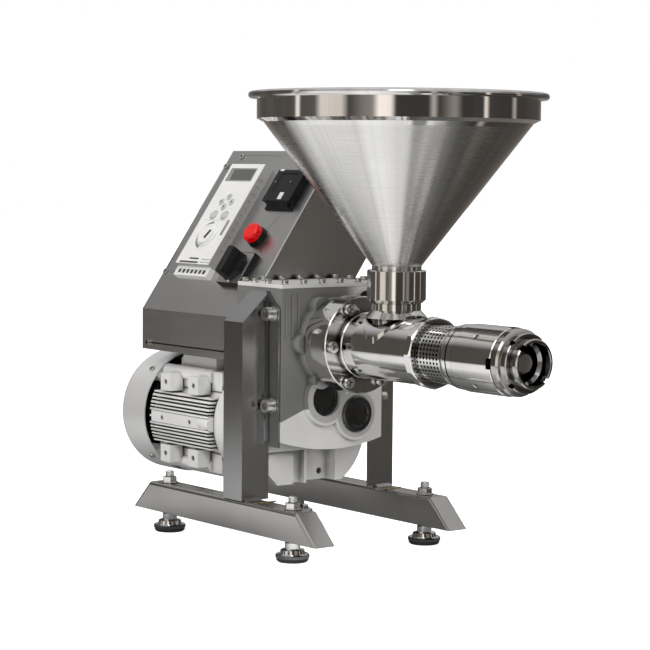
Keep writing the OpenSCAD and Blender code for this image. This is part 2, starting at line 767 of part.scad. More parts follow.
// Cowl with a rounded rear edge and a grille of round holes
module fan_cowl() {
  r = cowl_d / 2;
  t = 1.5;
  round_r = 12;
  grid = 11;
  cowl_mouth = cowl_y0 - 8;
  color([0.84, 0.84, 0.84]) difference() {
    turned(concat(
      [[r - t, -cowl_mouth], [r, -cowl_mouth]],
      [for (a = [0 : 15 : 90]) [r - round_r + round_r * cos(a), -cowl_y1 + round_r - round_r * sin(a)]],
      [[0, -cowl_y1]],
      [[0, -cowl_y1 + t]],
      [for (a = [90 : -15 : 0]) let (q = round_r - t) [r - round_r + q * cos(a), -cowl_y1 + round_r - q * sin(a)]],
      [[r - t, -cowl_mouth]]
    ), input_at);
    for (i = [-5 : 5], j = [-6 : 6])
      if (norm([i + (abs(j) % 2) / 2, j * 0.87]) * grid < r - 22)
        translate([(i + (abs(j) % 2) / 2) * grid, cowl_y1 + 1, motor_z + j * 0.87 * grid])
          rotate([90, 0, 0]) cylinder(r = 3.6, h = 4, $fn = 16);
    for (k = [0 : 3]) translate([0, cowl_y0 + 8, motor_z]) rotate([0, 45 + 90 * k, 0])
      rotate([0, 90, 0]) translate([0, 0, r - 14]) cylinder(r = 2 + fit, h = 15, $fn = 32);
  }
}

module cowl_screws() {
  color([0.8, 0.8, 0.8]) for (k = [0 : 3]) translate([0, cowl_y0 + 8, motor_z])
    rotate([0, 45 + 90 * k, 0]) rotate([0, 90, 0]) translate([0, 0, cowl_d / 2 + 0.02])
      socket_screw(4, 8, 2.4, 6, $fn = 32);
}

// Press barrel

module bearing_carrier() {
  color([0.82, 0.82, 0.82]) difference() {
    turned([
      [34, boss_l], [54, boss_l], [54, carrier_step - 3], [flange_d / 2 - 1, carrier_step],
      [flange_d / 2, carrier_step + 1], [flange_d / 2, flange_y - 1], [flange_d / 2 - 1, flange_y],
      [36 + fit, flange_y], [36 + fit, carrier_seat], [34, carrier_seat]
    ]);
    translate([0, 0, press_z]) for (k = [0 : 5]) rotate([0, 60 * k, 0])
      translate([flange_bolt_r, 0, 0]) rotate([90, 0, 0]) cylinder(r = 4 + fit, h = flange_y + 1);
  }
}

module thrust_bearing() {
  color([0.6, 0.6, 0.62]) difference() {
    rod(34 - fit, boss_l + 2, carrier_seat - 2);
    rod(17 + fit, boss_l, carrier_seat);
  }
}

module flange_bolts() {
  color([0.85, 0.85, 0.85]) translate([0, -flange_y, press_z]) for (k = [0 : 5])
    rotate([0, 60 * k, 0]) translate([flange_bolt_r, 0, 0]) rotate([90, 0, 0])
      socket_screw(8, 13, 8, flange_y + 5);
}

// Barrel with its feed neck, saddle and spanner holes
module barrel_tube() {
  color([0.85, 0.85, 0.85]) difference() {
    union() {
      rod(36, carrier_seat, flange_y);
      turned([
        [bore_r, flange_y], [barrel_r + 1, flange_y], [barrel_r + 1, flange_y + 6], [barrel_r, flange_y + 7],
        [barrel_r, barrel_y - 1], [barrel_r - 1, barrel_y], [bore_r, barrel_y]
      ]);
      translate([0, -neck_y, press_z]) cylinder(r = neck_r, h = neck_top - press_z);
      intersection() {
        rod(barrel_r + 2.5, neck_y - 50, neck_y + 50);
        translate([0, -neck_y, press_z + 8]) cylinder(r = neck_r + 9, h = 50);
      }
      translate([0, -neck_y, press_z + barrel_r - 2])
        cylinder(r1 = neck_r + 8, r2 = neck_r, h = 9);
    }
    rod(bore_r, carrier_seat - 1, barrel_y + 1);
    translate([0, -neck_y, press_z]) cylinder(r = throat_r, h = neck_top - press_z + 1);
    translate([0, -flange_y - 12.5, press_z]) for (k = [0 : 5]) rotate([0, 60 * k, 0])
      rotate([0, 90, 0]) translate([0, 0, barrel_r - 4]) cylinder(r = 3, h = 6, $fn = 32);
  }
}

module ring_nut() {
  color([0.85, 0.85, 0.85]) difference() {
    intersection() {
      rod(barrel_r + 3.4, barrel_y, cage_y0, press_at, $fn = 12);
      turned([
        [0, barrel_y], [barrel_r + 1, barrel_y], [barrel_r + 3.5, barrel_y + 2.5],
        [barrel_r + 3.5, cage_y0 - 2.5], [barrel_r + 1, cage_y0], [0, cage_y0]
      ]);
    }
    rod(cage_d / 2 + fit, barrel_y - 1, cage_y0 + 1);
  }
}

// Strainer cage: rings of small holes, each ring turned by half a step
module strainer_cage() {
  rings = 6;
  pitch = cage_l / (rings + 0.5);
  color([0.78, 0.78, 0.78]) difference() {
    rod(cage_d / 2, barrel_y, cage_y1);
    rod(bore_r, barrel_y - 1, cage_y1 + 1);
    for (row = [0 : rings - 1], k = [0 : cage_count - 1])
      translate([0, -cage_y0 - (row + 0.75) * pitch, press_z])
        rotate([0, k * 360 / cage_count, 0])
          rotate([0, 90, 0]) translate([0, 0, bore_r - 2])
            cylinder(d = cage_hole, h = cage_d / 2 - bore_r + 4, $fn = 16);
  }
}

module cage_collar() {
  r = barrel_r;
  color([0.8, 0.8, 0.8]) turned([
    [bore_r, cage_y1], [cage_d / 2 + 1.5, cage_y1], [cage_d / 2 + 1.5, cage_y1 + 3], [cage_d / 2, cage_y1 + 4],
    [cage_d / 2, cage_y1 + 6], [r - 2.5, cage_y1 + 8], [r - 1.5, cage_y1 + 9], [r - 1.5, cage_y1 + 14],
    [r - 4, cage_y1 + 14.5], [r - 4, cage_y1 + 16], [r - 1, cage_y1 + 16.5], [r - 1, head_y0],
    [bore_r, head_y0]
  ]);
}

// Press head with its radial spanner holes and end notches
module press_head() {
  r = head_d / 2;
  color([0.82, 0.82, 0.82]) difference() {
    turned([
      [bore_r, head_y0], [r - 1.5, head_y0], [r, head_y0 + 1.5], [r, head_y1 - 1], [r - 1, head_y1],
      [nozzle_r + fit, head_y1], [nozzle_r + fit, nozzle_y0], [bore_r, nozzle_y0 - 2]
    ]);
    for (k = [0 : 7]) translate([0, -head_y0 - 30, press_z]) rotate([0, 45 * k, 0]) rotate([0, 90, 0]) {
      translate([0, 0, bore_r - 3]) cylinder(r = 2.2, h = r - bore_r + 4, $fn = 32);
      translate([0, 0, r - 1.5]) cylinder(r1 = 2.2, r2 = 4.2, h = 2, $fn = 32);
    }
    for (k = [0 : 3]) translate([0, -head_y1, press_z]) rotate([0, 90 * k, 0])
      translate([r - 5, -1, -6]) cube([10, 7, 12]);
  }
}

module lock_ring() {
  r = head_d / 2;
  color([0.5, 0.5, 0.5]) difference() {
    turned([
      [nozzle_r + fit, lock_y0], [r - 2, lock_y0], [r - 1, lock_y0 + 1], [r - 1, lock_y0 + 8],
      [r - 3, lock_y0 + 10], [r - 5, lock_y0 + 11], [r - 5, lock_y1 - 1], [r - 6, lock_y1],
      [nozzle_r + fit, lock_y1]
    ]);
    for (k = [0 : 3]) translate([0, -lock_y1, press_z]) rotate([0, 45 + 90 * k, 0])
      translate([nozzle_r + 2, -1, -3.5]) cube([10, 6, 7]);
  }
}

// Outlet nozzle with two key slots in its rim
module outlet_nozzle() {
  r = nozzle_bore / 2;
  color([0.72, 0.72, 0.72]) difference() {
    turned([
      [r - 1, nozzle_y0], [nozzle_r - 1, nozzle_y0], [nozzle_r, nozzle_y0 + 1], [nozzle_r, nozzle_y1 - 1.5],
      [nozzle_r - 1.5, nozzle_y1], [r + 0.5, nozzle_y1], [r, nozzle_y1 - 1], [r, nozzle_y1 - 14],
      [r - 3, nozzle_y1 - 18], [r - 3, nozzle_y0 + 8], [r - 1, nozzle_y0 + 2]
    ]);
    for (k = [0, 1]) translate([0, -nozzle_y1, press_z]) rotate([0, 45 + 180 * k, 0])
      translate([r - 2, -1, -4]) cube([10, 8, 8]);
  }
}

// Press screw

// Distance along the screw where each stretch begins, its length and its pitch
function flight_stretches() = let (
    throat = neck_y + throat_r - screw_y0 + 10,
    middle = barrel_y - screw_y0 - throat
  ) [
    [0, throat, feed_pitch],
    [throat, middle, (feed_pitch + press_pitch) / 2],
    [throat + middle, screw_y1 - barrel_y, press_pitch]
  ];

// Turns that the flight has made at a distance along the screw
function turns_at(d, s) = min(max(d - s[0][0], 0), s[0][1]) / s[0][2]
  + min(max(d - s[1][0], 0), s[1][1]) / s[1][2]
  + max(d - s[2][0], 0) / s[2][2];

// Core and flight in one body: rings of points that turn with the pitch while the core grows
module flights() {
  tip = bore_r - flight_gap;
  land = 34;
  flank = 26;
  run_out = 8;
  core_mid = (core_feed + core_press) / 2;
  stretches = flight_stretches();
  start = -6;
  end = screw_y1 - screw_y0;
  across = [
    [0, 0], [flank / 2, sin(45)], [flank, 1], [flank + land / 2, 1],
    [flank + land, 1], [1.5 * flank + land, sin(45)], [2 * flank + land, 0]
  ];
  rest = 360 - 2 * flank - land;
  ring = concat(across, [for (k = [1 : 10]) [2 * flank + land + rest * k / 11, 0]]);
  stations = concat(
    [start, start / 2],
    [for (s = stretches) let (n = ceil(18 * s[1] / s[2])) for (k = [0 : n - 1]) s[0] + s[1] * k / n],
    [end]
  );
  m = len(ring);
  n = len(stations) - 1;
  points = [for (d = stations) let (
      core = lookup(d + screw_y0, [
        [screw_y0 + stretches[0][1], core_feed], [barrel_y, core_mid], [screw_y1 - 20, core_press]
      ]),
      rise = lookup(d, [[0, 0], [run_out, 1], [end - run_out - 3, 1], [end - 3, 0]])
    ) for (p = ring) let (
      r = core + (tip - core) * rise * p[1],
      a = p[0] + 360 * turns_at(d, stretches)
    ) [r * cos(a), r * sin(a), d]];
  faces = concat(
    [[for (j = [0 : m - 1]) j]],
    [for (i = [0 : n - 1]) for (j = [0 : m - 1]) [i * m + j, (i + 1) * m + j, (i + 1) * m + (j + 1) % m]],
    [for (i = [0 : n - 1]) for (j = [0 : m - 1]) [i * m + j, (i + 1) * m + (j + 1) % m, i * m + (j + 1) % m]],
    [[for (j = [m - 1 : -1 : 0]) n * m + j]]
  );
  translate([0, -screw_y0, press_z]) rotate([90, 0, 0]) polyhedron(points, faces);
}

// Hexagonal drive end, bearing journal, sealing shoulder, flights and the cone in the outlet
module press_screw() {
  color([0.68, 0.68, 0.7]) union() {
    rod(12, -28, boss_l + 2, press_at, $fn = 6);
    rod(17, boss_l, carrier_seat);
    rod(bore_r - flight_gap, carrier_seat - 1, screw_y0 - 4);
    flights();
    turned([
      [0, screw_y1 - 1], [core_press + 0.8, screw_y1 - 1], [core_press + 0.4, screw_y1],
      [nozzle_bore / 2 - 6, screw_y1 + 1], [0, screw_y1 + 1]
    ]);
  }
}

// Nose cone on the screw's end, inside the nozzle
module screw_nose() {
  color([0.68, 0.68, 0.7]) turned([
    [0, screw_y1 + 1.02], [nozzle_bore / 2 - 6, screw_y1 + 1.02], [nozzle_bore / 2 - 6, screw_y1 + 3],
    [13, screw_tip - 4], [10, screw_tip], [0, screw_tip]
  ]);
}

// Hopper

// Sheet cone with an upright band and a rolled rim
module hopper() {
  r0 = throat_r + 5;
  r1 = band_d / 2 - 8;
  r2 = band_d / 2;
  t = hopper_t;
  outline = concat(
    [[r0, collar_top], [r0, cone_low], [r1, cone_high - 4], [r2, cone_high], [r2, band_top - 3]],
    [[rim_d / 2 - lip_r, hopper_top - 6]],
    [for (a = [-60 : 30 : 90]) [rim_d / 2 - lip_r + lip_r * cos(a), hopper_top - lip_r + lip_r * sin(a)]],
    [[r2, hopper_top - 1], [r2 - t, hopper_top - 2]],
    [[r2 - t, cone_high + 1], [r1 - t, cone_high - 3.5], [r0 - t, cone_low + 1], [r0 - t, collar_top]]
  );
  color([0.87, 0.87, 0.87]) translate([0, -neck_y, 0]) rotate_extrude($fn = 128) polygon(outline);
}

// Collar that plugs on the feed neck and rests on its end
module hopper_collar() {
  r = collar_d / 2;
  color([0.85, 0.85, 0.85]) translate([0, -neck_y, 0]) rotate_extrude() polygon([
    [neck_r + fit, collar_low], [r - 4, collar_low], [r, collar_low + 4], [r, collar_top - 1], [r - 1, collar_top],
    [throat_r, collar_top], [throat_r, neck_top], [neck_r + fit, neck_top]
  ]);
}

// Control box

module box_seat() {
  color([0.15, 0.15, 0.15]) translate([-40, frame_y0 + 36, seat_top]) cube([80, 70, box_low - seat_top]);
}

module control_box() {
  shell = inset(box_section, 2 * box_t);
  color([0.6, 0.59, 0.57]) difference() {
    plate(box_front, box_back) polygon(box_section);
    plate(box_front - 1, box_back + 1) polygon(panel_strip(1));
    plate(box_front + box_t, box_back - box_t) polygon(shell);
    on_panel([box_l / 2, panel_l / 2], -3 * box_t) block([box_l - 36, panel_l - 36, 3 * box_t + 1]);
    for (p = panel_screw_at) on_panel(p, -12) cylinder(r = 2 + fit, h = 14, $fn = 32);
    for (p = skirt_screw_at) translate([-skirt_x - 1, box_front + p[0], p[1]])
      rotate([0, 90, 0]) cylinder(r = 2 + fit, h = 12, $fn = 32);
    for (k = [-4 : 4]) translate([skirt_x - 20, box_back - box_t - 1, box_p2[1] + 40 + 9 * k])
      cube([44, box_t + 2, 3.5]);
  }
}

// Section of the bent sheet that forms the skirt and the panel
function panel_strip(extra) = [
  [-skirt_x - extra, box_low - extra], [-skirt_x - extra, box_p2[1] + extra / 2],
  box_p3 - extra * slope_in + extra * slope_up, box_p3 + box_t * slope_in + extra * slope_up,
  inset(box_section, box_t)[1], [-skirt_x + box_t, box_low - extra]
];

module control_panel() {
  color([0.58, 0.57, 0.55]) difference() {
    plate(box_front, box_back) polygon(panel_strip(0));
    for (p = panel_screw_at) on_panel(p, -12) cylinder(r = 2 + fit, h = 14, $fn = 32);
    for (p = skirt_screw_at) translate([-skirt_x - 1, box_front + p[0], p[1]])
      rotate([0, 90, 0]) cylinder(r = 2 + fit, h = 12, $fn = 32);
    on_panel(lamp_at, -12) cylinder(r = 11 + fit, h = 14);
    on_panel(switch_at, -12) cylinder(r = 6 + fit, h = 14);
  }
}

module panel_screws() {
  color([0.8, 0.8, 0.8]) {
    for (p = panel_screw_at) on_panel(p) socket_screw(4, 7.5, 2.4, 8, $fn = 32);
    for (p = skirt_screw_at) translate([-skirt_x, box_front + p[0], p[1]])
      rotate([0, -90, 0]) socket_screw(4, 7.5, 2.4, 8, $fn = 32);
  }
}

// Controls

// Outline of a key with round ends
module key_outline(w, h, grow) {
  r = h / 2 + grow;
  for (sx = [-1, 1]) translate([sx * (w - h) / 2, 0]) circle(r, $fn = 32);
  if (w > h) translate([-(w - h) / 2, -r]) square([w - h, 2 * r]);
}

// The six keys: place on the drive, width and height
key_list = [
  [0, key_up_at + key_step, 9, 9], [0, key_up_at - key_step, 9, 9],
  [-key_step - 3, key_up_at, 9, 9], [key_step + 3, key_up_at, 9, 9],
  [-12, key_up_at - 21, 14, 8], [12, key_up_at - 21, 14, 8]
];

module speed_drive() {
  color([0.86, 0.86, 0.82]) on_panel(drive_at) difference() {
    union() {
      block([drive_w, drive_h, drive_out]);
      translate([0, -drive_h / 2 - 7, 0]) block([drive_w, 15, drive_out * 0.6]);
    }
    translate([0, 61, drive_out - 2]) block([48, 17, 3]);
    for (k = key_list) translate([k[0], k[1], drive_out - 5]) linear_extrude(6)
      key_outline(k[2], k[3], key_gap);
    translate([0, dial_up, drive_out - 6]) cylinder(r = 17 + key_gap, h = 7);
    for (k = [-3 : 3]) translate([k * 9, -drive_h / 2 - 8, drive_out * 0.6 - 3]) block([6, 6, 4]);
    for (side = [-1, 1], k = [-5 : 5]) translate([side * drive_w / 2, k * 11, drive_out / 2 - 3])
      block([2, 6, 6]);
  }
}

module drive_display() {
  color([0.25, 0.28, 0.25]) on_panel(drive_at, drive_out - 2) translate([0, 61, 0]) block([48 - 0.2, 17 - 0.2, 1.6]);
}

// One drive key by its place in the list
module key_at(k) {
  color([0.72, 0.73, 0.72]) on_panel(drive_at, drive_out - 3.5) translate([k[0], k[1], 0])
    linear_extrude(4.7) key_outline(k[2], k[3], 0);
}

module key_up() { key_at(key_list[0]); }
module key_down() { key_at(key_list[1]); }
module key_left() { key_at(key_list[2]); }
module key_right() { key_at(key_list[3]); }
module key_start() { key_at(key_list[4]); }
module key_stop() { key_at(key_list[5]); }

module drive_dial() {
  color([0.8, 0.8, 0.77]) on_panel(drive_at, drive_out - 5.7) translate([0, dial_up, 0]) difference() {
    union() {
      cylinder(r = 17, h = 7);
      cylinder(r = 14, h = 10);
    }
    translate([0, 9, 8.8]) cylinder(r = 3.5, h = 3);
  }
}

module switch_plate() {
  color([0.2, 0.2, 0.2]) on_panel(switch_at) difference() {
    union() {
      block([switch_w, switch_w, 8]);
      translate([0, 0, -6]) cylinder(r = 6, h = 8);
    }
    translate([0, 0, -7]) cylinder(r = 3.5 + fit, h = 20);
  }
}

// Eight-sided knob with a raised grip
module switch_knob() {
  r = switch_w / 2 - 3;
  color([0.07, 0.07, 0.07]) on_panel(switch_at) {
    translate([0, 0, -4]) cylinder(r = 3.5, h = 14);
    translate([0, 0, 8.4]) rotate(22.5) cylinder(r1 = r, r2 = r - 1.5, h = 7, $fn = 8);
    translate([0, 0, 12]) rotate([90, 0, 0]) translate([0, 0, -r + 2]) linear_extrude(2 * r - 4)
      polygon([[-7, 0], [7, 0], [5.5, 17], [4.5, 18], [-4.5, 18], [-5.5, 17]]);
  }
}

module lamp_bezel() {
  color([0.08, 0.08, 0.08]) on_panel(lamp_at) difference() {
    union() {
      cylinder(d1 = lamp_d, d2 = lamp_d - 2, h = 8);
      translate([0, 0, -8]) cylinder(r = 11, h = 9);
    }
    translate([0, 0, 2]) cylinder(r = lens_r + fit, h = 8);
  }
}

module lamp_lens() {
  color([0.9, 0.08, 0.06]) on_panel(lamp_at, 2) rotate_extrude()
    polygon(concat(
      [[0, 0], [lens_r, 0], [lens_r, 12]],
      [for (a = [30 : 30 : 90]) [lens_r - 3 + 3 * cos(a), 12 + 3 * sin(a)]],
      [[0, 15]]
    ));
}

module control_module() {
  w = module_w;
  color([0.07, 0.07, 0.07]) on_panel(module_at) difference() {
    union() {
      block([w, w - 2, 3]);
      translate([0, 4, 0]) block([w, w - 8, 12]);
      rotate([90, 0, 90]) translate([0, 0, -w / 2 + 6]) linear_extrude(w - 12)
        polygon([[-w / 2 + 1, 3], [-w / 2 + 9, 11.9], [-w / 2 + 9, 2], [-w / 2 + 1, 2]]);
    }
    translate([0, 8, 11]) block([w - 20, w - 28, 2]);
  }
}

left_rail();
right_rail();
left_post();
right_post();
foot_pads();
foot_glides();
foot_nuts();
post_bolts();
gearbox_housing();
gearbox_cover();
cover_screws();
oil_plug();
port_cap();
port_plug();
gear_bearings();
first_gear_shaft();
second_gear_shaft();
output_shaft();
motor_shield();
motor_frame();
motor_stator();
motor_rotor();
motor_bearings();
motor_rear_shield();
cooling_fan();
fan_cowl();
cowl_screws();
bearing_carrier();
thrust_bearing();
flange_bolts();
barrel_tube();
ring_nut();
strainer_cage();
cage_collar();
press_head();
lock_ring();
outlet_nozzle();
press_screw();
screw_nose();
hopper();
hopper_collar();
box_seat();
control_box();
control_panel();
panel_screws();
speed_drive();
drive_display();
drive_dial();
key_up();
key_down();
key_left();
key_right();
key_start();
key_stop();
switch_plate();
switch_knob();
lamp_bezel();
lamp_lens();
control_module();
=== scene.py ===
import math

import bmesh
import bpy
from mathutils import Matrix, Vector


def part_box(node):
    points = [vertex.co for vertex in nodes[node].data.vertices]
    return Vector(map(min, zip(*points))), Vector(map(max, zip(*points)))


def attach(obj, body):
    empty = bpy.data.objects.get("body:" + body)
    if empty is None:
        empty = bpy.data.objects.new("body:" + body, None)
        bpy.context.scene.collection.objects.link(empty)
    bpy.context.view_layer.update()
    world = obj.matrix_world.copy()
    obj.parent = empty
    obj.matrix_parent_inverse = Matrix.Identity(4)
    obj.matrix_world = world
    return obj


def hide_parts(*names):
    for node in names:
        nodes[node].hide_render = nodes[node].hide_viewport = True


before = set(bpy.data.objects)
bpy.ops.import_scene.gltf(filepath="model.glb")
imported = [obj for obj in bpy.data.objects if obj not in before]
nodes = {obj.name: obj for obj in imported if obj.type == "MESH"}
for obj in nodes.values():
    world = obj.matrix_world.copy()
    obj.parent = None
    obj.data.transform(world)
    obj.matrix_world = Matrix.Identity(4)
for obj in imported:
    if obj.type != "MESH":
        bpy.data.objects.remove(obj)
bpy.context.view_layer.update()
millimetre = 0.001
print("frame loaded:", len(nodes), "nodes")


# Node helpers

# Each input of a node is linked to a socket, or set to a number, a vector or a colour
def fill(tree, node, inputs):
    for key, value in inputs.items():
        socket = node.inputs[key]
        if isinstance(value, bpy.types.NodeSocket):
            tree.links.new(value, socket)
        elif socket.type == "RGBA":
            socket.default_value = (*value, 1)
        else:
            socket.default_value = value


def addNode(tree, kind, inputs, **settings):
    node = tree.nodes.new("ShaderNode" + kind)
    for key, value in settings.items():
        setattr(node, key, value)
    fill(tree, node, inputs)
    return node


# A material's nodes, its shader, and the place on the object that its patterns read
def opened(mat):
    tree = mat.node_tree
    return tree, tree.nodes["Principled BSDF"], tree.nodes["place"].outputs["Object"]


def startMaterial(name):
    mat = bpy.data.materials.new(name)
    mat.use_nodes = True
    mat.node_tree.nodes.new("ShaderNodeTexCoord").name = "place"
    return (mat, *opened(mat))


def mapped(tree, vector, scale, location=(0, 0, 0)):
    mapping = addNode(tree, "Mapping", {"Vector": vector, "Location": location, "Scale": scale})
    return mapping.outputs["Vector"]


def partsOf(tree, vector):
    return addNode(tree, "SeparateXYZ", {"Vector": vector}).outputs


def mathOf(tree, operation, *values):
    return addNode(tree, "Math", dict(enumerate(values)), operation=operation).outputs["Value"]


def vectorOf(tree, operation, *vectors):
    return addNode(tree, "VectorMath", dict(enumerate(vectors)), operation=operation).outputs


def noiseOf(tree, vector, scale, detail):
    noise = addNode(tree, "TexNoise", {"Vector": vector, "Scale": scale, "Detail": detail})
    return noise.outputs["Fac"]


# Most of a noise lies between 0.3 and 0.7, so that is stretched to the low and high value
def rangeOf(tree, value, low, high, fromLow=0.3, fromHigh=0.7):
    inputs = {"Value": value, "From Min": fromLow, "From Max": fromHigh, "To Min": low, "To Max": high}
    return addNode(tree, "MapRange", inputs).outputs["Result"]


# 0 below a height of the object and 1 above it
def aboveOf(tree, place, height, blend):
    return rangeOf(tree, partsOf(tree, place)["Z"], 0.0, 1.0, height, height + blend)


# A Mix node has its numbers at 2 and 3, and its colours at 6 and 7
def mixValue(tree, factor, valueA, valueB):
    return addNode(tree, "Mix", {0: factor, 2: valueA, 3: valueB}).outputs[0]


def mixColor(tree, factor, colorA, colorB, blend="MIX"):
    inputs = {0: factor, 6: colorA, 7: colorB}
    return addNode(tree, "Mix", inputs, data_type="RGBA", blend_type=blend).outputs[2]


def bumpOf(tree, height, strength, distance, under=None):
    inputs = {"Height": height, "Strength": strength, "Distance": distance}
    if under is not None:
        inputs["Normal"] = under
    return addNode(tree, "Bump", inputs).outputs["Normal"]


# What the skins share: how fine each noise is, and over what range each change fades
skin = {
    "metalGrain": 3.0, "metalCloud": 4.0, "castGrain": 5.0, "mouldedGrain": 4.0, "mouldedCloud": 3.0,
    "lineRange": (0.35, 0.65), "streakDetail": 5.0, "streakRange": (0.36, 0.62),
    "brightBlend": 0.0005, "bandBlend": 0.001,
    "cornerSamples": 8, "edgeSamples": 6, "edgeRange": (0.86, 0.985),
}


# Painted reflection: dark streaks that run down a turned cone, from a noise that only knows the
# direction from its axis
def reflectionStreaked(tree, place, color, look):
    flat = mapped(tree, place, (1, 1, 0), (0, -look["streakAxis"], 0))
    around = vectorOf(tree, "NORMALIZE", flat)["Vector"]
    streak = noiseOf(tree, around, look["streaks"], skin["streakDetail"])
    share = rangeOf(tree, streak, look["streakShare"], 0.0, *skin["streakRange"])
    return mixColor(tree, share, color, look["reflectionStreakColor"])


# Painted shade darkens the skins in their corners, and painted highlights lighten the edges of cast
# ones
def paintedCornerShade(tree, color, look):
    corner = addNode(tree, "AmbientOcclusion", {"Distance": look["cornerReach"]},
                     samples=skin["cornerSamples"])
    openness = corner.outputs["AO"]
    lit = rangeOf(tree, openness, look["paintedCornerShade"], 1.0, look["cornerFrom"], look["cornerTo"])
    color = mixColor(tree, 1.0, color, lit, "MULTIPLY")
    if "edgeHighlightReach" not in look:
        return color
    rounded = addNode(tree, "Bevel", {"Radius": look["edgeHighlightReach"]}, samples=skin["edgeSamples"])
    surface = tree.nodes.new("ShaderNodeNewGeometry")
    turn = vectorOf(tree, "DOT_PRODUCT", rounded.outputs["Normal"], surface.outputs["Normal"])
    edge = rangeOf(tree, turn["Value"], look["edgeHighlightShare"], 0.0, *skin["edgeRange"])
    return mixColor(tree, edge, color, look["edgeHighlightColor"])


# A metal skin: stretched grain and cloudy tone, with painted shade in corners and painted highlights on
# edges where a look asks for them, all in object coordinates
def metalMaterial(name, look):
    mat, tree, bsdf, place = startMaterial(name)
    grain = noiseOf(tree, mapped(tree, place, look["grain"]), 1.0, skin["metalGrain"])
    cloud = noiseOf(tree, place, look["cloudScale"], skin["metalCloud"])
    color = mixColor(tree, rangeOf(tree, cloud, 0.0, 1.0), look["color"], look["shade"])
    lines = rangeOf(tree, grain, 0.0, look["lineTone"], *skin["lineRange"])
    color = mixColor(tree, lines, color, look["lineColor"])
    # Painted reflection streaks where a look has them
    if "streaks" in look:
        color = reflectionStreaked(tree, place, color, look)
    if "brightFrom" in look:
        bright = aboveOf(tree, place, look["brightFrom"], skin["brightBlend"])
        color = mixColor(tree, bright, color, look["brightColor"])
    if "cornerReach" in look:
        color = paintedCornerShade(tree, color, look)
    rough = rangeOf(tree, grain, *look["rough"])
    if "bandFrom" in look:
        band = aboveOf(tree, place, look["bandFrom"], skin["bandBlend"])
        rough = mixValue(tree, band, rough, look["bandRough"])
    normal = bumpOf(tree, grain, look["bump"], look["depth"])
    if "castGrain" in look:
        cast = noiseOf(tree, place, look["castGrain"], skin["castGrain"])
        normal = bumpOf(tree, cast, look["castBump"], look["castDepth"], normal)
    fill(tree, bsdf, {"Base Color": color, "Roughness": rough, "Normal": normal,
                      "Metallic": look["metallic"]})
    if "anisotropic" in look:
        tangent = addNode(tree, "Tangent", {}, direction_type="RADIAL", axis=look["tangentAxis"])
        fill(tree, bsdf, {"Anisotropic": look["anisotropic"], "Anisotropic Rotation": look["grainTurn"],
                          "Tangent": tangent.outputs["Tangent"]})
    return mat


# The gearbox: painted shade darkens its front above a slanting line at its left,
# and half of that painted shade lies on the bosses of its two ports
gearboxShade = {
    "edge": (-0.0758, 0.1557), "slope": 0.374, "rightEnd": 0.02, "rightBlend": 0.02, "blend": 0.0012,
    "tone": 0.27, "ports": ("port_cap", "port_plug"), "bossRadius": 0.0285, "bossShare": 0.45,
}


# The cast argument carries the painted shade's line, boss share and tone
def gearboxMaterial(name, look, cast):
    mat = metalMaterial(name, look)
    tree, bsdf, place = opened(mat)
    parts = partsOf(tree, place)
    line = mathOf(tree, "MULTIPLY_ADD", parts["X"], -cast["slope"], parts["Z"])
    height = cast["edge"][1] - cast["slope"] * cast["edge"][0]
    above = rangeOf(tree, line, 0.0, 1.0, height, height + cast["blend"])
    right = cast["rightEnd"]
    beside = rangeOf(tree, parts["X"], 1.0, 0.0, right, right + cast["rightBlend"])
    shaded = mathOf(tree, "MULTIPLY", above, beside)
    for port in cast["ports"]:
        low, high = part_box(port)
        middle = (-(low.x + high.x) / 2, 0, -(low.z + high.z) / 2)
        reach = vectorOf(tree, "LENGTH", mapped(tree, place, (1, 0, 1), middle))["Value"]
        rim = cast["bossRadius"]
        outside = rangeOf(tree, reach, 0.0, 1.0, rim, rim + cast["blend"])
        shaded = mixValue(tree, outside, cast["bossShare"], shaded)
    base = bsdf.inputs["Base Color"].links[0].from_socket
    # Painted shade: the base colour is darkened where the mask is set
    fill(tree, bsdf, {"Base Color": mixColor(tree, shaded, base, [cast["tone"]] * 3, "MULTIPLY")})
    return mat


# A plastic or rubber skin: fine moulded grain with a slight change of tone and sheen
def mouldedMaterial(name, look):
    mat, tree, bsdf, place = startMaterial(name)
    grain = noiseOf(tree, place, look["grain"], skin["mouldedGrain"])
    cloud = noiseOf(tree, place, look["cloudScale"], skin["mouldedCloud"])
    fill(tree, bsdf, {
        "Base Color": mixColor(tree, rangeOf(tree, cloud, 0.0, 1.0), look["color"], look["shade"]),
        "Roughness": rangeOf(tree, cloud, *look["rough"]),
        "Normal": bumpOf(tree, grain, look["bump"], look["depth"]),
        "Coat Weight": look.get("coat", 0.0), "Specular IOR Level": look.get("specular", 0.5),
    })
    return mat
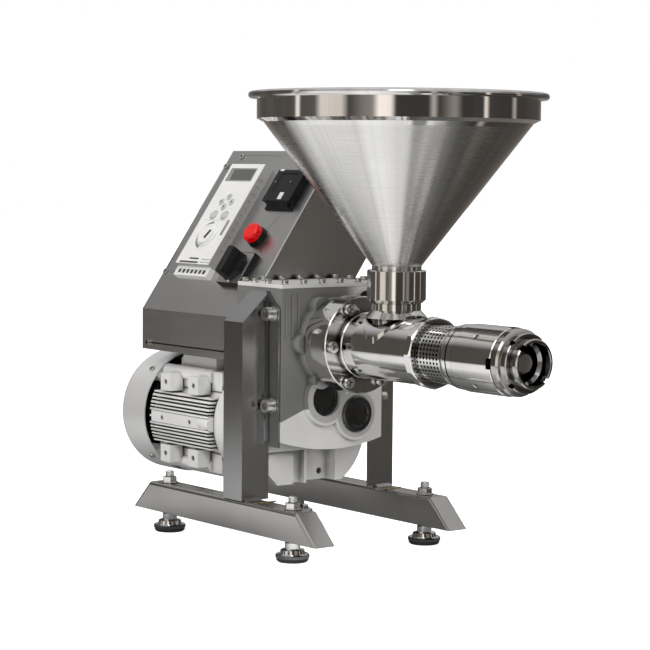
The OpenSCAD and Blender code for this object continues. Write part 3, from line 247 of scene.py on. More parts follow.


# Metals: colours, stretched grain, sheen and relief, with the extras that some of them have
# The corner keys of a look set its painted corner shade, and its edge keys its painted edge highlights
metalLooks = {
    "frameSteel": {
        "color": (0.405, 0.407, 0.404), "shade": (0.315, 0.317, 0.314),
        "lineColor": (0.455, 0.457, 0.453), "lineTone": 0.06, "grain": (900, 900, 9),
        "cloudScale": 5.0, "rough": (0.24, 0.27), "bump": 0.004, "depth": 0.00005, "metallic": 1.0,
        "cornerReach": 0.012, "paintedCornerShade": 0.35, "cornerFrom": 0.3, "cornerTo": 0.75,
    },
    "railSteel": {
        "color": (0.56, 0.548, 0.53), "shade": (0.45, 0.44, 0.426), "lineColor": (0.6, 0.59, 0.574),
        "lineTone": 0.08, "grain": (900, 9, 900), "cloudScale": 6.0, "rough": (0.2, 0.25),
        "bump": 0.005, "depth": 0.00005, "metallic": 1.0, "cornerReach": 0.01, "paintedCornerShade": 0.4,
        "cornerFrom": 0.3, "cornerTo": 0.75,
    },
    "panelSteel": {
        "color": (0.6, 0.598, 0.592), "shade": (0.53, 0.528, 0.522),
        "lineColor": (0.63, 0.628, 0.62), "lineTone": 0.12, "grain": (700, 12, 700),
        "cloudScale": 6.0, "rough": (0.32, 0.4), "bump": 0.03, "depth": 0.0001, "metallic": 1.0,
    },
    "hopperSteel": {
        "color": (0.86, 0.852, 0.84), "shade": (0.78, 0.772, 0.76),
        "lineColor": (0.9, 0.895, 0.885), "lineTone": 0.2, "grain": (14, 14, 900),
        "cloudScale": 16.0, "rough": (0.2, 0.3), "streaks": 7.0, "streakAxis": -0.1185,
        "streakShare": 0.5, "reflectionStreakColor": (0.5, 0.49, 0.475), "bump": 0.04, "depth": 0.0001,
        "metallic": 1.0, "anisotropic": 0.8, "grainTurn": 0.25, "tangentAxis": "Z",
        "bandFrom": 0.5055, "bandRough": 0.07,
    },
    "turnedSteel": {
        "color": (0.78, 0.77, 0.755), "shade": (0.68, 0.67, 0.655),
        "lineColor": (0.84, 0.835, 0.825), "lineTone": 0.25, "grain": (6, 1400, 6),
        "cloudScale": 30.0, "rough": (0.05, 0.12), "bump": 0.05, "depth": 0.00005, "metallic": 1.0,
        "cornerReach": 0.012, "paintedCornerShade": 0.06, "cornerFrom": 0.42, "cornerTo": 0.8,
    },
    "ringSteel": {
        "color": (0.5, 0.49, 0.475), "shade": (0.36, 0.353, 0.342), "lineColor": (0.62, 0.61, 0.6),
        "lineTone": 0.25, "grain": (6, 1400, 6), "cloudScale": 45.0, "rough": (0.06, 0.14),
        "bump": 0.05, "depth": 0.00005, "metallic": 1.0, "cornerReach": 0.02, "paintedCornerShade": 0.06,
        "cornerFrom": 0.3, "cornerTo": 0.8,
    },
    "collarSteel": {
        "color": (0.78, 0.77, 0.755), "shade": (0.68, 0.67, 0.655),
        "lineColor": (0.84, 0.835, 0.825), "lineTone": 0.25, "grain": (6, 6, 1400),
        "cloudScale": 30.0, "rough": (0.05, 0.12), "bump": 0.05, "depth": 0.00005, "metallic": 1.0,
    },
    "darkSteel": {
        "color": (0.2, 0.2, 0.205), "shade": (0.13, 0.13, 0.135), "lineColor": (0.3, 0.3, 0.3),
        "lineTone": 0.3, "grain": (900, 900, 8), "cloudScale": 60.0, "rough": (0.06, 0.14),
        "bump": 0.05, "depth": 0.00005, "metallic": 1.0, "brightFrom": 0.0088,
        "brightColor": (0.8, 0.8, 0.79),
    },
    "gearSteel": {
        "color": (0.5, 0.5, 0.51), "shade": (0.38, 0.38, 0.39), "lineColor": (0.62, 0.62, 0.63),
        "lineTone": 0.4, "grain": (8, 900, 8), "cloudScale": 35.0, "rough": (0.18, 0.32),
        "bump": 0.12, "depth": 0.0001, "metallic": 1.0,
    },
    "screwSteel": {
        "color": (0.82, 0.815, 0.8), "shade": (0.6, 0.595, 0.58), "lineColor": (0.9, 0.9, 0.89),
        "lineTone": 0.35, "grain": (500, 500, 500), "cloudScale": 90.0, "rough": (0.12, 0.24),
        "bump": 0.08, "depth": 0.00008, "metallic": 1.0, "cornerReach": 0.004, "paintedCornerShade": 0.05,
        "cornerFrom": 0.35, "cornerTo": 0.75,
    },
    "castAluminium": {
        "color": (0.93, 0.93, 0.92), "shade": (0.85, 0.85, 0.84), "lineColor": (0.97, 0.97, 0.96),
        "lineTone": 0.3, "grain": (160, 160, 160), "cloudScale": 22.0, "rough": (0.36, 0.5),
        "bump": 0.1, "depth": 0.0003, "metallic": 0.2, "castGrain": 620.0, "castBump": 0.28,
        "castDepth": 0.0004, "cornerReach": 0.02, "paintedCornerShade": 0.3, "cornerFrom": 0.32,
        "cornerTo": 0.72, "edgeHighlightReach": 0.0012, "edgeHighlightShare": 0.9, "edgeHighlightColor": (1.0, 1.0, 0.99),
    },
    "motorAluminium": {
        "color": (0.97, 0.97, 0.96), "shade": (0.9, 0.9, 0.89), "lineColor": (1.0, 1.0, 0.99),
        "lineTone": 0.3, "grain": (140, 140, 140), "cloudScale": 26.0, "rough": (0.36, 0.5),
        "bump": 0.1, "depth": 0.0003, "metallic": 0.15, "castGrain": 700.0, "castBump": 0.25,
        "castDepth": 0.0003, "cornerReach": 0.016, "paintedCornerShade": 0.26, "cornerFrom": 0.3,
        "cornerTo": 0.75, "edgeHighlightReach": 0.001, "edgeHighlightShare": 0.8, "edgeHighlightColor": (0.97, 0.97, 0.96),
    },
    "cowlSheet": {
        "color": (0.97, 0.97, 0.965), "shade": (0.9, 0.9, 0.895), "lineColor": (1.0, 1.0, 1.0),
        "lineTone": 0.25, "grain": (20, 300, 20), "cloudScale": 8.0, "rough": (0.28, 0.36),
        "bump": 0.03, "depth": 0.0001, "metallic": 0.45,
    },
    "bearingSteel": {
        "color": (0.6, 0.6, 0.62), "shade": (0.5, 0.5, 0.52), "lineColor": (0.7, 0.7, 0.71),
        "lineTone": 0.3, "grain": (10, 900, 10), "cloudScale": 50.0, "rough": (0.14, 0.24),
        "bump": 0.08, "depth": 0.00005, "metallic": 1.0,
    },
    "windingCopper": {
        "color": (0.5, 0.22, 0.1), "shade": (0.34, 0.13, 0.06), "lineColor": (0.66, 0.33, 0.17),
        "lineTone": 0.5, "grain": (900, 10, 900), "cloudScale": 60.0, "rough": (0.3, 0.45),
        "bump": 0.4, "depth": 0.0004, "metallic": 0.9,
    },
    "plateMetal": {
        "color": (0.5, 0.5, 0.49), "shade": (0.42, 0.42, 0.41), "lineColor": (0.62, 0.62, 0.6),
        "lineTone": 0.3, "grain": (300, 300, 300), "cloudScale": 40.0, "rough": (0.28, 0.4),
        "bump": 0.08, "depth": 0.0001, "metallic": 0.9,
    },
    "weldMetal": {
        "color": (0.5, 0.36, 0.2), "shade": (0.22, 0.17, 0.13), "lineColor": (0.7, 0.58, 0.4),
        "lineTone": 0.5, "grain": (500, 500, 500), "cloudScale": 300.0, "rough": (0.25, 0.45),
        "bump": 0.4, "depth": 0.0003, "metallic": 1.0,
    },
}

# Rubbers and plastics
mouldedLooks = {
    "blackRubber": {
        "color": (0.022, 0.022, 0.022), "shade": (0.035, 0.035, 0.034), "grain": 900.0,
        "cloudScale": 60.0, "rough": (0.5, 0.68), "bump": 0.25, "depth": 0.0002,
    },
    "blackPlastic": {
        "color": (0.009, 0.009, 0.01), "shade": (0.016, 0.016, 0.017), "grain": 1500.0,
        "cloudScale": 50.0, "rough": (0.3, 0.42), "bump": 0.2, "depth": 0.00015, "coat": 0.05,
        "specular": 0.3,
    },
    "capRubber": {
        "color": (0.008, 0.008, 0.008), "shade": (0.02, 0.02, 0.02), "grain": 260.0,
        "cloudScale": 80.0, "rough": (0.1, 0.3), "bump": 0.7, "depth": 0.0012, "coat": 0.8,
    },
    "drivePlastic": {
        "sideColor": (0.4, 0.4, 0.39), "color": (0.88, 0.88, 0.86), "shade": (0.82, 0.82, 0.8),
        "grain": 1600.0, "cloudScale": 25.0, "rough": (0.38, 0.5), "bump": 0.12, "depth": 0.0001,
    },
    "keyPlastic": {
        "color": (0.62, 0.63, 0.62), "shade": (0.5, 0.51, 0.5), "grain": 1500.0, "cloudScale": 90.0,
        "rough": (0.4, 0.52), "bump": 0.15, "depth": 0.0001,
    },
}

# Flat printed tones: the colour and its shade
prints = {
    "darkPrintAndShade": ((0.05, 0.05, 0.05), (0.08, 0.08, 0.08)),
    "greyPrintAndShade": ((0.3, 0.305, 0.3), (0.24, 0.245, 0.24)),
    "softPrint": ((0.52, 0.525, 0.52), (0.46, 0.465, 0.46)),
    "palePrint": ((0.66, 0.67, 0.65), (0.6, 0.61, 0.6)),
    "whitePrintAndHighlight": ((0.86, 0.86, 0.85), (0.78, 0.78, 0.77)),
}
printSkin = {"grain": 1800.0, "cloudScale": 150.0, "rough": (0.4, 0.55), "bump": 0.12, "depth": 0.0001}

lampLens = {
    "color": (0.8, 0.002, 0.002), "shade": (0.66, 0.001, 0.001), "cloudScale": 120.0, "grain": 900.0,
    "detail": 2.0, "rough": (0.1, 0.2), "bump": 0.15, "depth": 0.0002, "glow": 0.22, "coat": 0.1,
}


# The lamp's lens: red and faintly lit, with a fine grain
def lensMaterial(name, look):
    mat, tree, bsdf, place = startMaterial(name)
    cloud = noiseOf(tree, place, look["cloudScale"], look["detail"])
    grain = noiseOf(tree, place, look["grain"], look["detail"])
    color = mixColor(tree, rangeOf(tree, cloud, 0.0, 1.0), look["color"], look["shade"])
    fill(tree, bsdf, {
        "Base Color": color, "Roughness": rangeOf(tree, cloud, *look["rough"]),
        "Normal": bumpOf(tree, grain, look["bump"], look["depth"]),
        "Emission Color": color, "Emission Strength": look["glow"], "Coat Weight": look["coat"],
    })
    return mat


displayGlass = {
    "cells": 420.0, "cellColor": (0.10, 0.105, 0.1), "cellShade": (0.12, 0.125, 0.12),
    "gapColor": (0.075, 0.078, 0.075), "smear": 70.0, "smearDetail": 3.0, "rough": (0.08, 0.2),
    "bump": 0.05, "depth": 0.0001, "coat": 0.4,
}


# The display: dark glass over a faint grid of cells
def displayMaterial(name, look):
    mat, tree, bsdf, place = startMaterial(name)
    cells = addNode(tree, "TexBrick", {
        "Vector": place, "Scale": look["cells"], "Color1": look["cellColor"],
        "Color2": look["cellShade"], "Mortar": look["gapColor"],
    })
    smear = noiseOf(tree, place, look["smear"], look["smearDetail"])
    fill(tree, bsdf, {
        "Base Color": cells.outputs["Color"], "Roughness": rangeOf(tree, smear, *look["rough"]),
        "Normal": bumpOf(tree, smear, look["bump"], look["depth"]), "Coat Weight": look["coat"],
    })
    return mat


# The sloped panel's lower front corner in millimetres and its lean in degrees;
# the drive's white face lies driveOut above it, and its lower lip ends at lipUp
panel = {"foot": (-68.5, 92.5, 273.5), "lean": 35.0, "driveOut": 14.3, "lipUp": 63.7, "blend": 0.0004}
panelLean = math.radians(panel["lean"])
panelOut = -math.cos(panelLean) * panel["foot"][0] + math.sin(panelLean) * panel["foot"][2]
panelUp = math.sin(panelLean) * panel["foot"][0] + math.cos(panelLean) * panel["foot"][2]


# The drive's plastic: white on its face and its lip, grey on its sides
def driveMaterial(name, look):
    mat = mouldedMaterial(name, look)
    tree, bsdf, place = opened(mat)
    outward = (-math.cos(panelLean), 0, math.sin(panelLean))
    upward = (math.sin(panelLean), 0, math.cos(panelLean))
    faceFrom = (panelOut + panel["driveOut"]) * millimetre
    lipTo = (panelUp + panel["lipUp"]) * millimetre
    out = vectorOf(tree, "DOT_PRODUCT", place, outward)["Value"]
    up = vectorOf(tree, "DOT_PRODUCT", place, upward)["Value"]
    face = rangeOf(tree, out, 0.0, 1.0, faceFrom, faceFrom + panel["blend"])
    lip = rangeOf(tree, up, 1.0, 0.0, lipTo - panel["blend"], lipTo)
    white = mathOf(tree, "MAXIMUM", face, lip)
    base = bsdf.inputs["Base Color"].links[0].from_socket
    fill(tree, bsdf, {"Base Color": mixColor(tree, white, look["sideColor"], base)})
    return mat


# Materials that every piece picks from by name

materialOf = {
    "gearboxShaded": gearboxMaterial("gearboxShaded", metalLooks["castAluminium"], gearboxShade),
    "drivePlastic": driveMaterial("drivePlastic", mouldedLooks["drivePlastic"]),
    "redLens": lensMaterial("redLens", lampLens),
    "displayGlass": displayMaterial("displayGlass", displayGlass),
}
for name, look in metalLooks.items():
    materialOf[name] = metalMaterial(name, look)
for name, look in mouldedLooks.items():
    if name not in materialOf:
        materialOf[name] = mouldedMaterial(name, look)
for name, (color, shade) in prints.items():
    materialOf[name] = mouldedMaterial(name, {"color": color, "shade": shade, **printSkin})
print("materials made:", len(materialOf))

wearsOf = {
    "frameSteel": ["left_post", "right_post", "control_box"],
    "railSteel": ["left_rail", "right_rail"],
    "panelSteel": ["control_panel"],
    "hopperSteel": ["hopper"],
    "turnedSteel": ["bearing_carrier", "barrel_tube", "ring_nut", "strainer_cage", "cage_collar",
                    "press_head"],
    "ringSteel": ["lock_ring", "outlet_nozzle"],
    "collarSteel": ["hopper_collar"],
    "darkSteel": ["foot_glides"],
    "gearSteel": ["first_gear_shaft", "second_gear_shaft", "output_shaft", "motor_rotor",
                  "press_screw", "screw_nose"],
    "screwSteel": ["foot_nuts", "post_bolts", "cover_screws", "cowl_screws", "flange_bolts",
                   "panel_screws"],
    "castAluminium": ["gearbox_cover"],
    "gearboxShaded": ["gearbox_housing"],
    "motorAluminium": ["motor_shield", "motor_frame", "motor_rear_shield"],
    "cowlSheet": ["fan_cowl"],
    "bearingSteel": ["gear_bearings", "motor_bearings", "thrust_bearing"],
    "windingCopper": ["motor_stator"],
    "blackRubber": ["foot_pads", "box_seat"],
    "capRubber": ["port_cap", "port_plug"],
    "blackPlastic": ["oil_plug", "cooling_fan", "switch_knob", "switch_plate", "lamp_bezel",
                     "control_module"],
    "drivePlastic": ["speed_drive", "drive_dial"],
    "keyPlastic": ["key_up", "key_down", "key_left", "key_right", "key_start", "key_stop"],
    "redLens": ["lamp_lens"],
    "displayGlass": ["drive_display"],
}
for materialName, members in wearsOf.items():
    for nodeName in members:
        mesh = nodes[nodeName].data
        mesh.materials.clear()
        mesh.materials.append(materialOf[materialName])
print("materials set on", sum(len(members) for members in wearsOf.values()), "nodes")


# Softened edges on the CAD nodes: joined corners, then a narrow bevel of the width given

edgeWidths = {
    0.0012: ["left_post", "right_post", "control_box"],
    0.0009: ["gearbox_housing"],
    0.0008: ["left_rail", "right_rail", "motor_shield", "speed_drive", "control_module", "switch_knob"],
    0.0007: ["gearbox_cover", "motor_frame", "switch_plate"],
    0.0006: ["control_panel", "post_bolts"],
    0.0005: ["flange_bolts", "foot_nuts"],
    0.0004: ["cover_screws", "drive_dial", "port_plug", "port_cap"],
    0.0003: ["panel_screws", "cowl_screws", *wearsOf["keyPlastic"]],
}
softEdge = {"join": 0.00001, "segments": 2, "angle": 28}


def softenEdges(node, width):
    join = node.modifiers.new("join", "WELD")
    join.merge_threshold = softEdge["join"]
    bevel = node.modifiers.new("edge", "BEVEL")
    bevel.width = width
    bevel.segments = softEdge["segments"]
    bevel.limit_method = "ANGLE"
    bevel.angle_limit = math.radians(softEdge["angle"])
    bevel.harden_normals = True


for width, members in edgeWidths.items():
    for nodeName in members:
        softenEdges(nodes[nodeName], width)
print("edges softened on", sum(len(members) for members in edgeWidths.values()), "nodes")


# Helpers for new pieces

# Corners of a new piece that lie closer than this are joined
joinWithin = 0.000002


# A bmesh in millimetres is placed, cleaned, made a piece and set on its body
def addPiece(name, bm, place, material, body="frame"):
    bm.transform(Matrix.Scale(millimetre, 4) @ place)
    bmesh.ops.remove_doubles(bm, verts=bm.verts, dist=joinWithin)
    bmesh.ops.recalc_face_normals(bm, faces=bm.faces)
    mesh = bpy.data.meshes.new(name)
    bm.to_mesh(mesh)
    bm.free()
    mesh.materials.append(materialOf[material])
    piece = bpy.data.objects.new(name, mesh)
    bpy.context.scene.collection.objects.link(piece)
    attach(piece, body)
    return piece


# A node's lowest and highest corner in millimetres
def boxOf(nodeName):
    return [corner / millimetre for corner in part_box(nodeName)]


def vertsIn(geometry):
    return [item for item in geometry if isinstance(item, bmesh.types.BMVert)]


# The edges or faces that some corners belong to, each once and in order
def linkedOf(verts, kind):
    return list(dict.fromkeys(item for vert in verts for item in getattr(vert, kind)))


def rotation(degrees, axis):
    return Matrix.Rotation(math.radians(degrees), 4, axis)


def softBevel(bm, geometry, width, segments, affect):
    return bmesh.ops.bevel(bm, geom=geometry, offset=width, offset_type="OFFSET", segments=segments,
                           profile=0.5, material=-1, affect=affect)


# A flat bar, standing on z = 0 of the bmesh: its corners are rounded, it is turned about z
# and moved to its place, and the edges of its top are broken
def addBar(bm, size, corner, at, turn=0.0, edge=0.0):
    verts = bmesh.ops.create_grid(bm, x_segments=1, y_segments=1, size=0.5)["verts"]
    bmesh.ops.scale(bm, vec=(size[0], size[1], 1), verts=verts)
    face = verts[0].link_faces[0]
    if corner:
        rounded = softBevel(bm, verts, corner, 4, "VERTICES")["faces"]
        flat = [item for item in bm.faces if item.is_valid and item.verts[0].co.z == 0]
        face = max(rounded + flat, key=lambda item: item.calc_area() if item.is_valid else 0)
    bottom = list(face.verts)
    raised = bmesh.ops.extrude_face_region(bm, geom=[face])["geom"]
    top = vertsIn(raised)
    bmesh.ops.translate(bm, vec=(0, 0, size[2]), verts=top)
    cap = [item for item in raised if isinstance(item, bmesh.types.BMFace)][0]
    bmesh.ops.contextual_create(bm, geom=bottom)
    turned = Matrix.Translation(Vector(at)) @ rotation(turn, "Z")
    bmesh.ops.transform(bm, matrix=turned, verts=bottom + top)
    if edge:
        softBevel(bm, list(cap.edges), edge, 1, "EDGES")


# A prism that narrows a little to its top, its first corner at the angle given
def addPrism(bm, sides, radius, height, at, turn=0.0, narrow=0.94):
    verts = bmesh.ops.create_cone(bm, cap_ends=True, segments=sides, radius1=radius,
                                  radius2=radius * narrow, depth=height)["verts"]
    middle = Matrix.Translation(Vector(at) + Vector((0, 0, height / 2)))
    bmesh.ops.transform(bm, matrix=middle @ rotation(turn, "Z"), verts=verts)
    return verts


# Part of a flat ring that stands on its place, from one angle to another
def addArc(bm, inner, outer, height, at, start, end, stepTurn=7):
    section = bmesh.ops.create_grid(bm, x_segments=1, y_segments=1, size=0.5)["verts"]
    bmesh.ops.scale(bm, vec=(outer - inner, height, 1), verts=section)
    middle = Matrix.Translation(Vector(((inner + outer) / 2, 0, height / 2)))
    stand = rotation(start, "Z") @ middle @ rotation(90, "X")
    bmesh.ops.transform(bm, matrix=Matrix.Translation(Vector(at)) @ stand, verts=section)
    face = section[0].link_faces[0]
    bmesh.ops.spin(bm, geom=[face, *face.edges, *face.verts], cent=at, axis=(0, 0, 1),
                   angle=math.radians(end - start), steps=max(3, int((end - start) / stepTurn)),
                   use_duplicate=False)


# A closed outline of radius and height turned once round z
def addTurn(bm, outline, steps):
    verts = [bm.verts.new((radius, 0, height)) for radius, height in outline]
    edges = [bm.edges.new((verts[k], verts[(k + 1) % len(verts)])) for k in range(len(verts))]
    bmesh.ops.spin(bm, geom=[*verts, *edges], cent=(0, 0, 0), axis=(0, 0, 1), angle=math.tau,
                   steps=steps, use_merge=True, use_duplicate=False)


def barPiece(name, bars, place, material, body="frame"):
    bm = bmesh.new()
    for bar in bars:
        addBar(bm, *bar)
    addPiece(name, bm, place, material, body)


# A place on the sloped panel: x to the front, y up the slope, z outward, in millimetres
def onPanel(along, up, out=0.0):
    axes = Matrix(((0, -1, 0), (math.sin(panelLean), 0, math.cos(panelLean)),
                   (-math.cos(panelLean), 0, math.sin(panelLean))))
    foot = Matrix.Translation(Vector(panel["foot"]) + Vector((0, along, 0)))
    return foot @ axes.transposed().to_4x4() @ Matrix.Translation(Vector((0, up, out)))


# The middle of a node, seen from a place on the panel
def middleOn(place, nodeName):
    low, high = boxOf(nodeName)
    return place.inverted() @ ((low + high) / 2)


# Marks on the speed drive, with painted shadow and shade among them; a bar is given by its size,
# corners, place, turn and broken edge

driveMarks = {
    "at": (145, 142), "face": 15.0, "keyTop": 16.2, "arrowRadius": 2.1, "arrowThick": 0.2,
    "arrows": {"up": 90, "down": -90, "left": 180, "right": 0},
    "arc": (17.8, 21.4, 0.25), "arcAt": (0, -34, 0), "arcTurn": (96, 252),
    "pointer": ((13.5, 5.0, 0.3), 0.0, (4.6, -34.6, 4.25), 68, 0.15),
    "strip": ((5.2, 23, 0.25), 0.0, (27.4, -21.5, 0), 0, 0.1),
    "patchRadius": 7.4, "patchThick": 0.14, "patchSides": 20,
    "displayFrame": [
        ((57, 1.6, 0.3), 0.0, (-2.5, 51.6, 0)), ((57, 1.6, 0.3), 0.0, (-2.5, 70.4, 0)),
        ((7.0, 17.2, 0.3), 0.0, (-27.5, 61, 0)), ((2.0, 17.2, 0.3), 0.0, (25.0, 61, 0)),
    ],
    "keypadBorder": ((50, 0.6, 0.12), 0.0, (-1, -10.5, 0)),
    "labels": [((20, 2.2, 0.2), 0.9, (-0.6, -70, 0)), ((41, 2.4, 0.2), 0.9, (-8.6, -75.6, 0))],
    "ventRadius": 1.0, "ventThick": 0.2, "ventSides": 8, "ventAt": (17.5, -70.5),
    "ventStep": (4.2, 4.4), "vents": (5, 2),
    "terminal": (5.8, 5.8, 2.6), "terminalAt": (-86, -8.9), "terminalStep": 9, "eachSide": 3,
}


def makeDriveMarks():
    marks = driveMarks
    place = onPanel(*marks["at"], marks["face"])
    for key, turn in marks["arrows"].items():
        local = middleOn(place, "key_" + key)
        bm = bmesh.new()
        at = (local.x, local.y, marks["keyTop"] - marks["face"])
        addPrism(bm, 3, marks["arrowRadius"], marks["arrowThick"], at, turn)
        addPiece("arrow_" + key, bm, place, "darkPrintAndShade", key)
    # Painted shadow: a grey arc round the dial on the drive face
    bm = bmesh.new()
    addArc(bm, *marks["arc"], marks["arcAt"], *marks["arcTurn"])
    addPiece("dialShadowArc", bm, place, "greyPrintAndShade")
    barPiece("dialPointer", [marks["pointer"]], place, "darkPrintAndShade", "dial")
    barPiece("sideStrip", [marks["strip"]], place, "greyPrintAndShade")
    bm = bmesh.new()
    for key in ("key_start", "key_stop"):
        local = middleOn(place, key)
        at = (local.x, local.y, 0)
        addPrism(bm, marks["patchSides"], marks["patchRadius"], marks["patchThick"], at)
    addPiece("keyPatches", bm, place, "softPrint")
    barPiece("displayFrame", marks["displayFrame"], place, "greyPrintAndShade")
    barPiece("keypadBorder", [marks["keypadBorder"]], place, "palePrint")
    bm = bmesh.new()
    for label in marks["labels"]:
        addBar(bm, *label)
    for row in range(marks["vents"][1]):
        for k in range(marks["vents"][0]):
            at = (marks["ventAt"][0] + marks["ventStep"][0] * k,
                  marks["ventAt"][1] - marks["ventStep"][1] * row, 0)
            addPrism(bm, marks["ventSides"], marks["ventRadius"], marks["ventThick"], at)
    addPiece("ventSlots", bm, place, "darkPrintAndShade")
    # Painted shade: dark plates in the drive's lower windows
    shades = []
    for k in range(-marks["eachSide"], marks["eachSide"] + 1):
        shades.append((marks["terminal"], 0.0, (marks["terminalStep"] * k, *marks["terminalAt"])))
    barPiece("terminalShades", shades, place, "darkPrintAndShade")


# The switch plate's bright face with its pointer mark
switchMarks = {
    "at": (58.5, 67), "face": 8.0, "plate": ((45.0, 45.0, 0.3), 1.5, (0, 0, -0.05), 0, 0.12),
    "markRadius": 3.6, "markThick": 0.25, "markAt": (0, -19.4, 0.25),
}


def makeSwitchMarks():
    marks = switchMarks
    place = onPanel(*marks["at"], marks["face"])
    barPiece("switchFace", [marks["plate"]], place, "plateMetal")
    bm = bmesh.new()
    addPrism(bm, 3, marks["markRadius"], marks["markThick"], marks["markAt"], 90)
    addPiece("switchPointer", bm, place, "whitePrintAndHighlight")


# The module's blank labels and its two light points
moduleMarks = {
    "at": (49, 186), "face": 12.0,
    "labels": [((8.5, 10.5, 0.2), 0.8, (5.5, -12, -0.02)), ((8.0, 2.6, 0.2), 0.8, (-20, 27.2, -0.02))],
    "lightRadius": 1.2, "lightThick": 0.5, "lightSides": 16,
    "lightsAt": [(-21.5, 9.3, -0.05), (10.5, 9.5, -0.05)],
}


def makeModuleMarks():
    marks = moduleMarks
    place = onPanel(*marks["at"], marks["face"])
    barPiece("moduleLabel", marks["labels"], place, "whitePrintAndHighlight")
    bm = bmesh.new()
    for at in marks["lightsAt"]:
        addPrism(bm, marks["lightSides"], marks["lightRadius"], marks["lightThick"], at)
    addPiece("moduleLights", bm, place, "greyPrintAndShade")


# Painted highlight: a white strip along the panel's front edge
panelEdgeHighlight = {"width": 1.3, "thick": 0.4, "sunk": 0.05, "shorter": 6, "edge": 0.15}


def makePanelEdgeHighlight():
    highlight = panelEdgeHighlight
    length = (boxOf("control_panel")[1].z - panel["foot"][2]) / math.cos(panelLean)
    size = (highlight["width"], length - highlight["shorter"], highlight["thick"])
    at = (-highlight["width"] / 2, length / 2, -highlight["sunk"])
    barPiece("panelEdgeHighlight", [(size, 0.0, at, 0, highlight["edge"])], onPanel(0, 0), "whitePrintAndHighlight")


makeDriveMarks()
makePanelEdgeHighlight()
makeSwitchMarks()
makeModuleMarks()
print("panel marks made")


# The cooling fan behind the motor: disc, hub, curved blades and a ring that ties their ends
fan = {
    "at": (0, 305, 137), "disc": 62, "discThick": 2.4, "hub": 17, "bore": 9.9, "depth": 22, "ease": 1,
    "blades": 11, "bladeFrom": 20, "bladeThick": 1.8, "bladeCurl": 16.0, "bladeLift": 0.5,
    "bladeSteps": 6, "ring": (46, 72), "ringThick": 2, "steps": 64,
}


def addBlade(bm, turn):
    reach = fan["disc"] - fan["bladeFrom"] - fan["ease"]
    verts = bmesh.ops.create_grid(bm, x_segments=fan["bladeSteps"], y_segments=1, size=0.5)["verts"]
    bmesh.ops.scale(bm, vec=(reach, fan["depth"], 1), verts=verts)
    bmesh.ops.rotate(bm, cent=(0, 0, 0), matrix=rotation(90, "X").to_3x3(), verts=verts)
    middle = (fan["bladeFrom"] + reach / 2, 0, fan["depth"] / 2 + fan["bladeLift"])
    bmesh.ops.translate(bm, vec=middle, verts=verts)
    for vert in verts:
        out = (vert.co.x - fan["bladeFrom"]) / reach
        vert.co.y = fan["bladeCurl"] * out * out
    faces = linkedOf(verts, "link_faces")
    walled = bmesh.ops.solidify(bm, geom=faces, thickness=fan["bladeThick"])["geom"]
    body = list(dict.fromkeys([*verts, *vertsIn(walled)]))
    bmesh.ops.rotate(bm, cent=(0, 0, 0), matrix=Matrix.Rotation(turn, 3, "Z"), verts=body)


def makeFan():
    bore, disc, thick = fan["bore"], fan["disc"], fan["discThick"]
    hub, depth, ease = fan["hub"], fan["depth"], fan["ease"]
    inner, outer = fan["ring"]
    top = depth + fan["ringThick"]
    wheel = [(bore, 0), (disc, 0), (disc, thick), (hub, thick + ease), (hub - ease, depth)]
    ring = [(inner, depth), (outer, depth), (outer - ease, top), (inner, top)]
    bm = bmesh.new()
    addTurn(bm, [*wheel, (bore, depth)], fan["steps"])
    addTurn(bm, ring, fan["steps"])
    for k in range(fan["blades"]):
        addBlade(bm, math.tau * k / fan["blades"])
    place = Matrix.Translation(Vector(fan["at"])) @ rotation(-90, "X")
    piece = addPiece("curvedFan", bm, place, "blackPlastic", "rotor")
    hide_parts("cooling_fan")


# The strainer: a tube of small round holes, in the place of the plain cage
strainer = {
    "from": 180, "holesFrom": 192.4, "to": 232, "rim": 0.4, "outer": 33.5, "inner": 30.1, "axis": 249,
    "round": 42, "rows": 7, "hole": 1.75, "holeSides": 8, "join": 0.01,
}


# One square cell with its round hole, flat, its middle at the origin
def addHoleCell(bm, width, height):
    square = bmesh.ops.create_grid(bm, x_segments=2, y_segments=2, size=0.5)["verts"]
    middle = min(square, key=lambda vert: vert.co.length)
    bmesh.ops.delete(bm, geom=[middle], context="VERTS")
    for face in list(bm.faces):
        bm.faces.remove(face)
    rim = list(bm.edges)
    bmesh.ops.scale(bm, vec=(width, height, 1), verts=list(bm.verts))
    circle = bmesh.ops.create_circle(bm, cap_ends=False, segments=strainer["holeSides"],
                                     radius=strainer["hole"])["verts"]
    bmesh.ops.bridge_loops(bm, edges=rim + linkedOf(circle, "link_edges"))


# The border at one height is drawn out to another
def drawOut(bm, height, end):
    near = strainer["join"]
    border = [edge for edge in bm.edges if all(abs(vert.co.y - height) < near for vert in edge.verts)]
    for vert in vertsIn(bmesh.ops.extrude_edge_only(bm, edges=border)["geom"]):
        vert.co.y = end


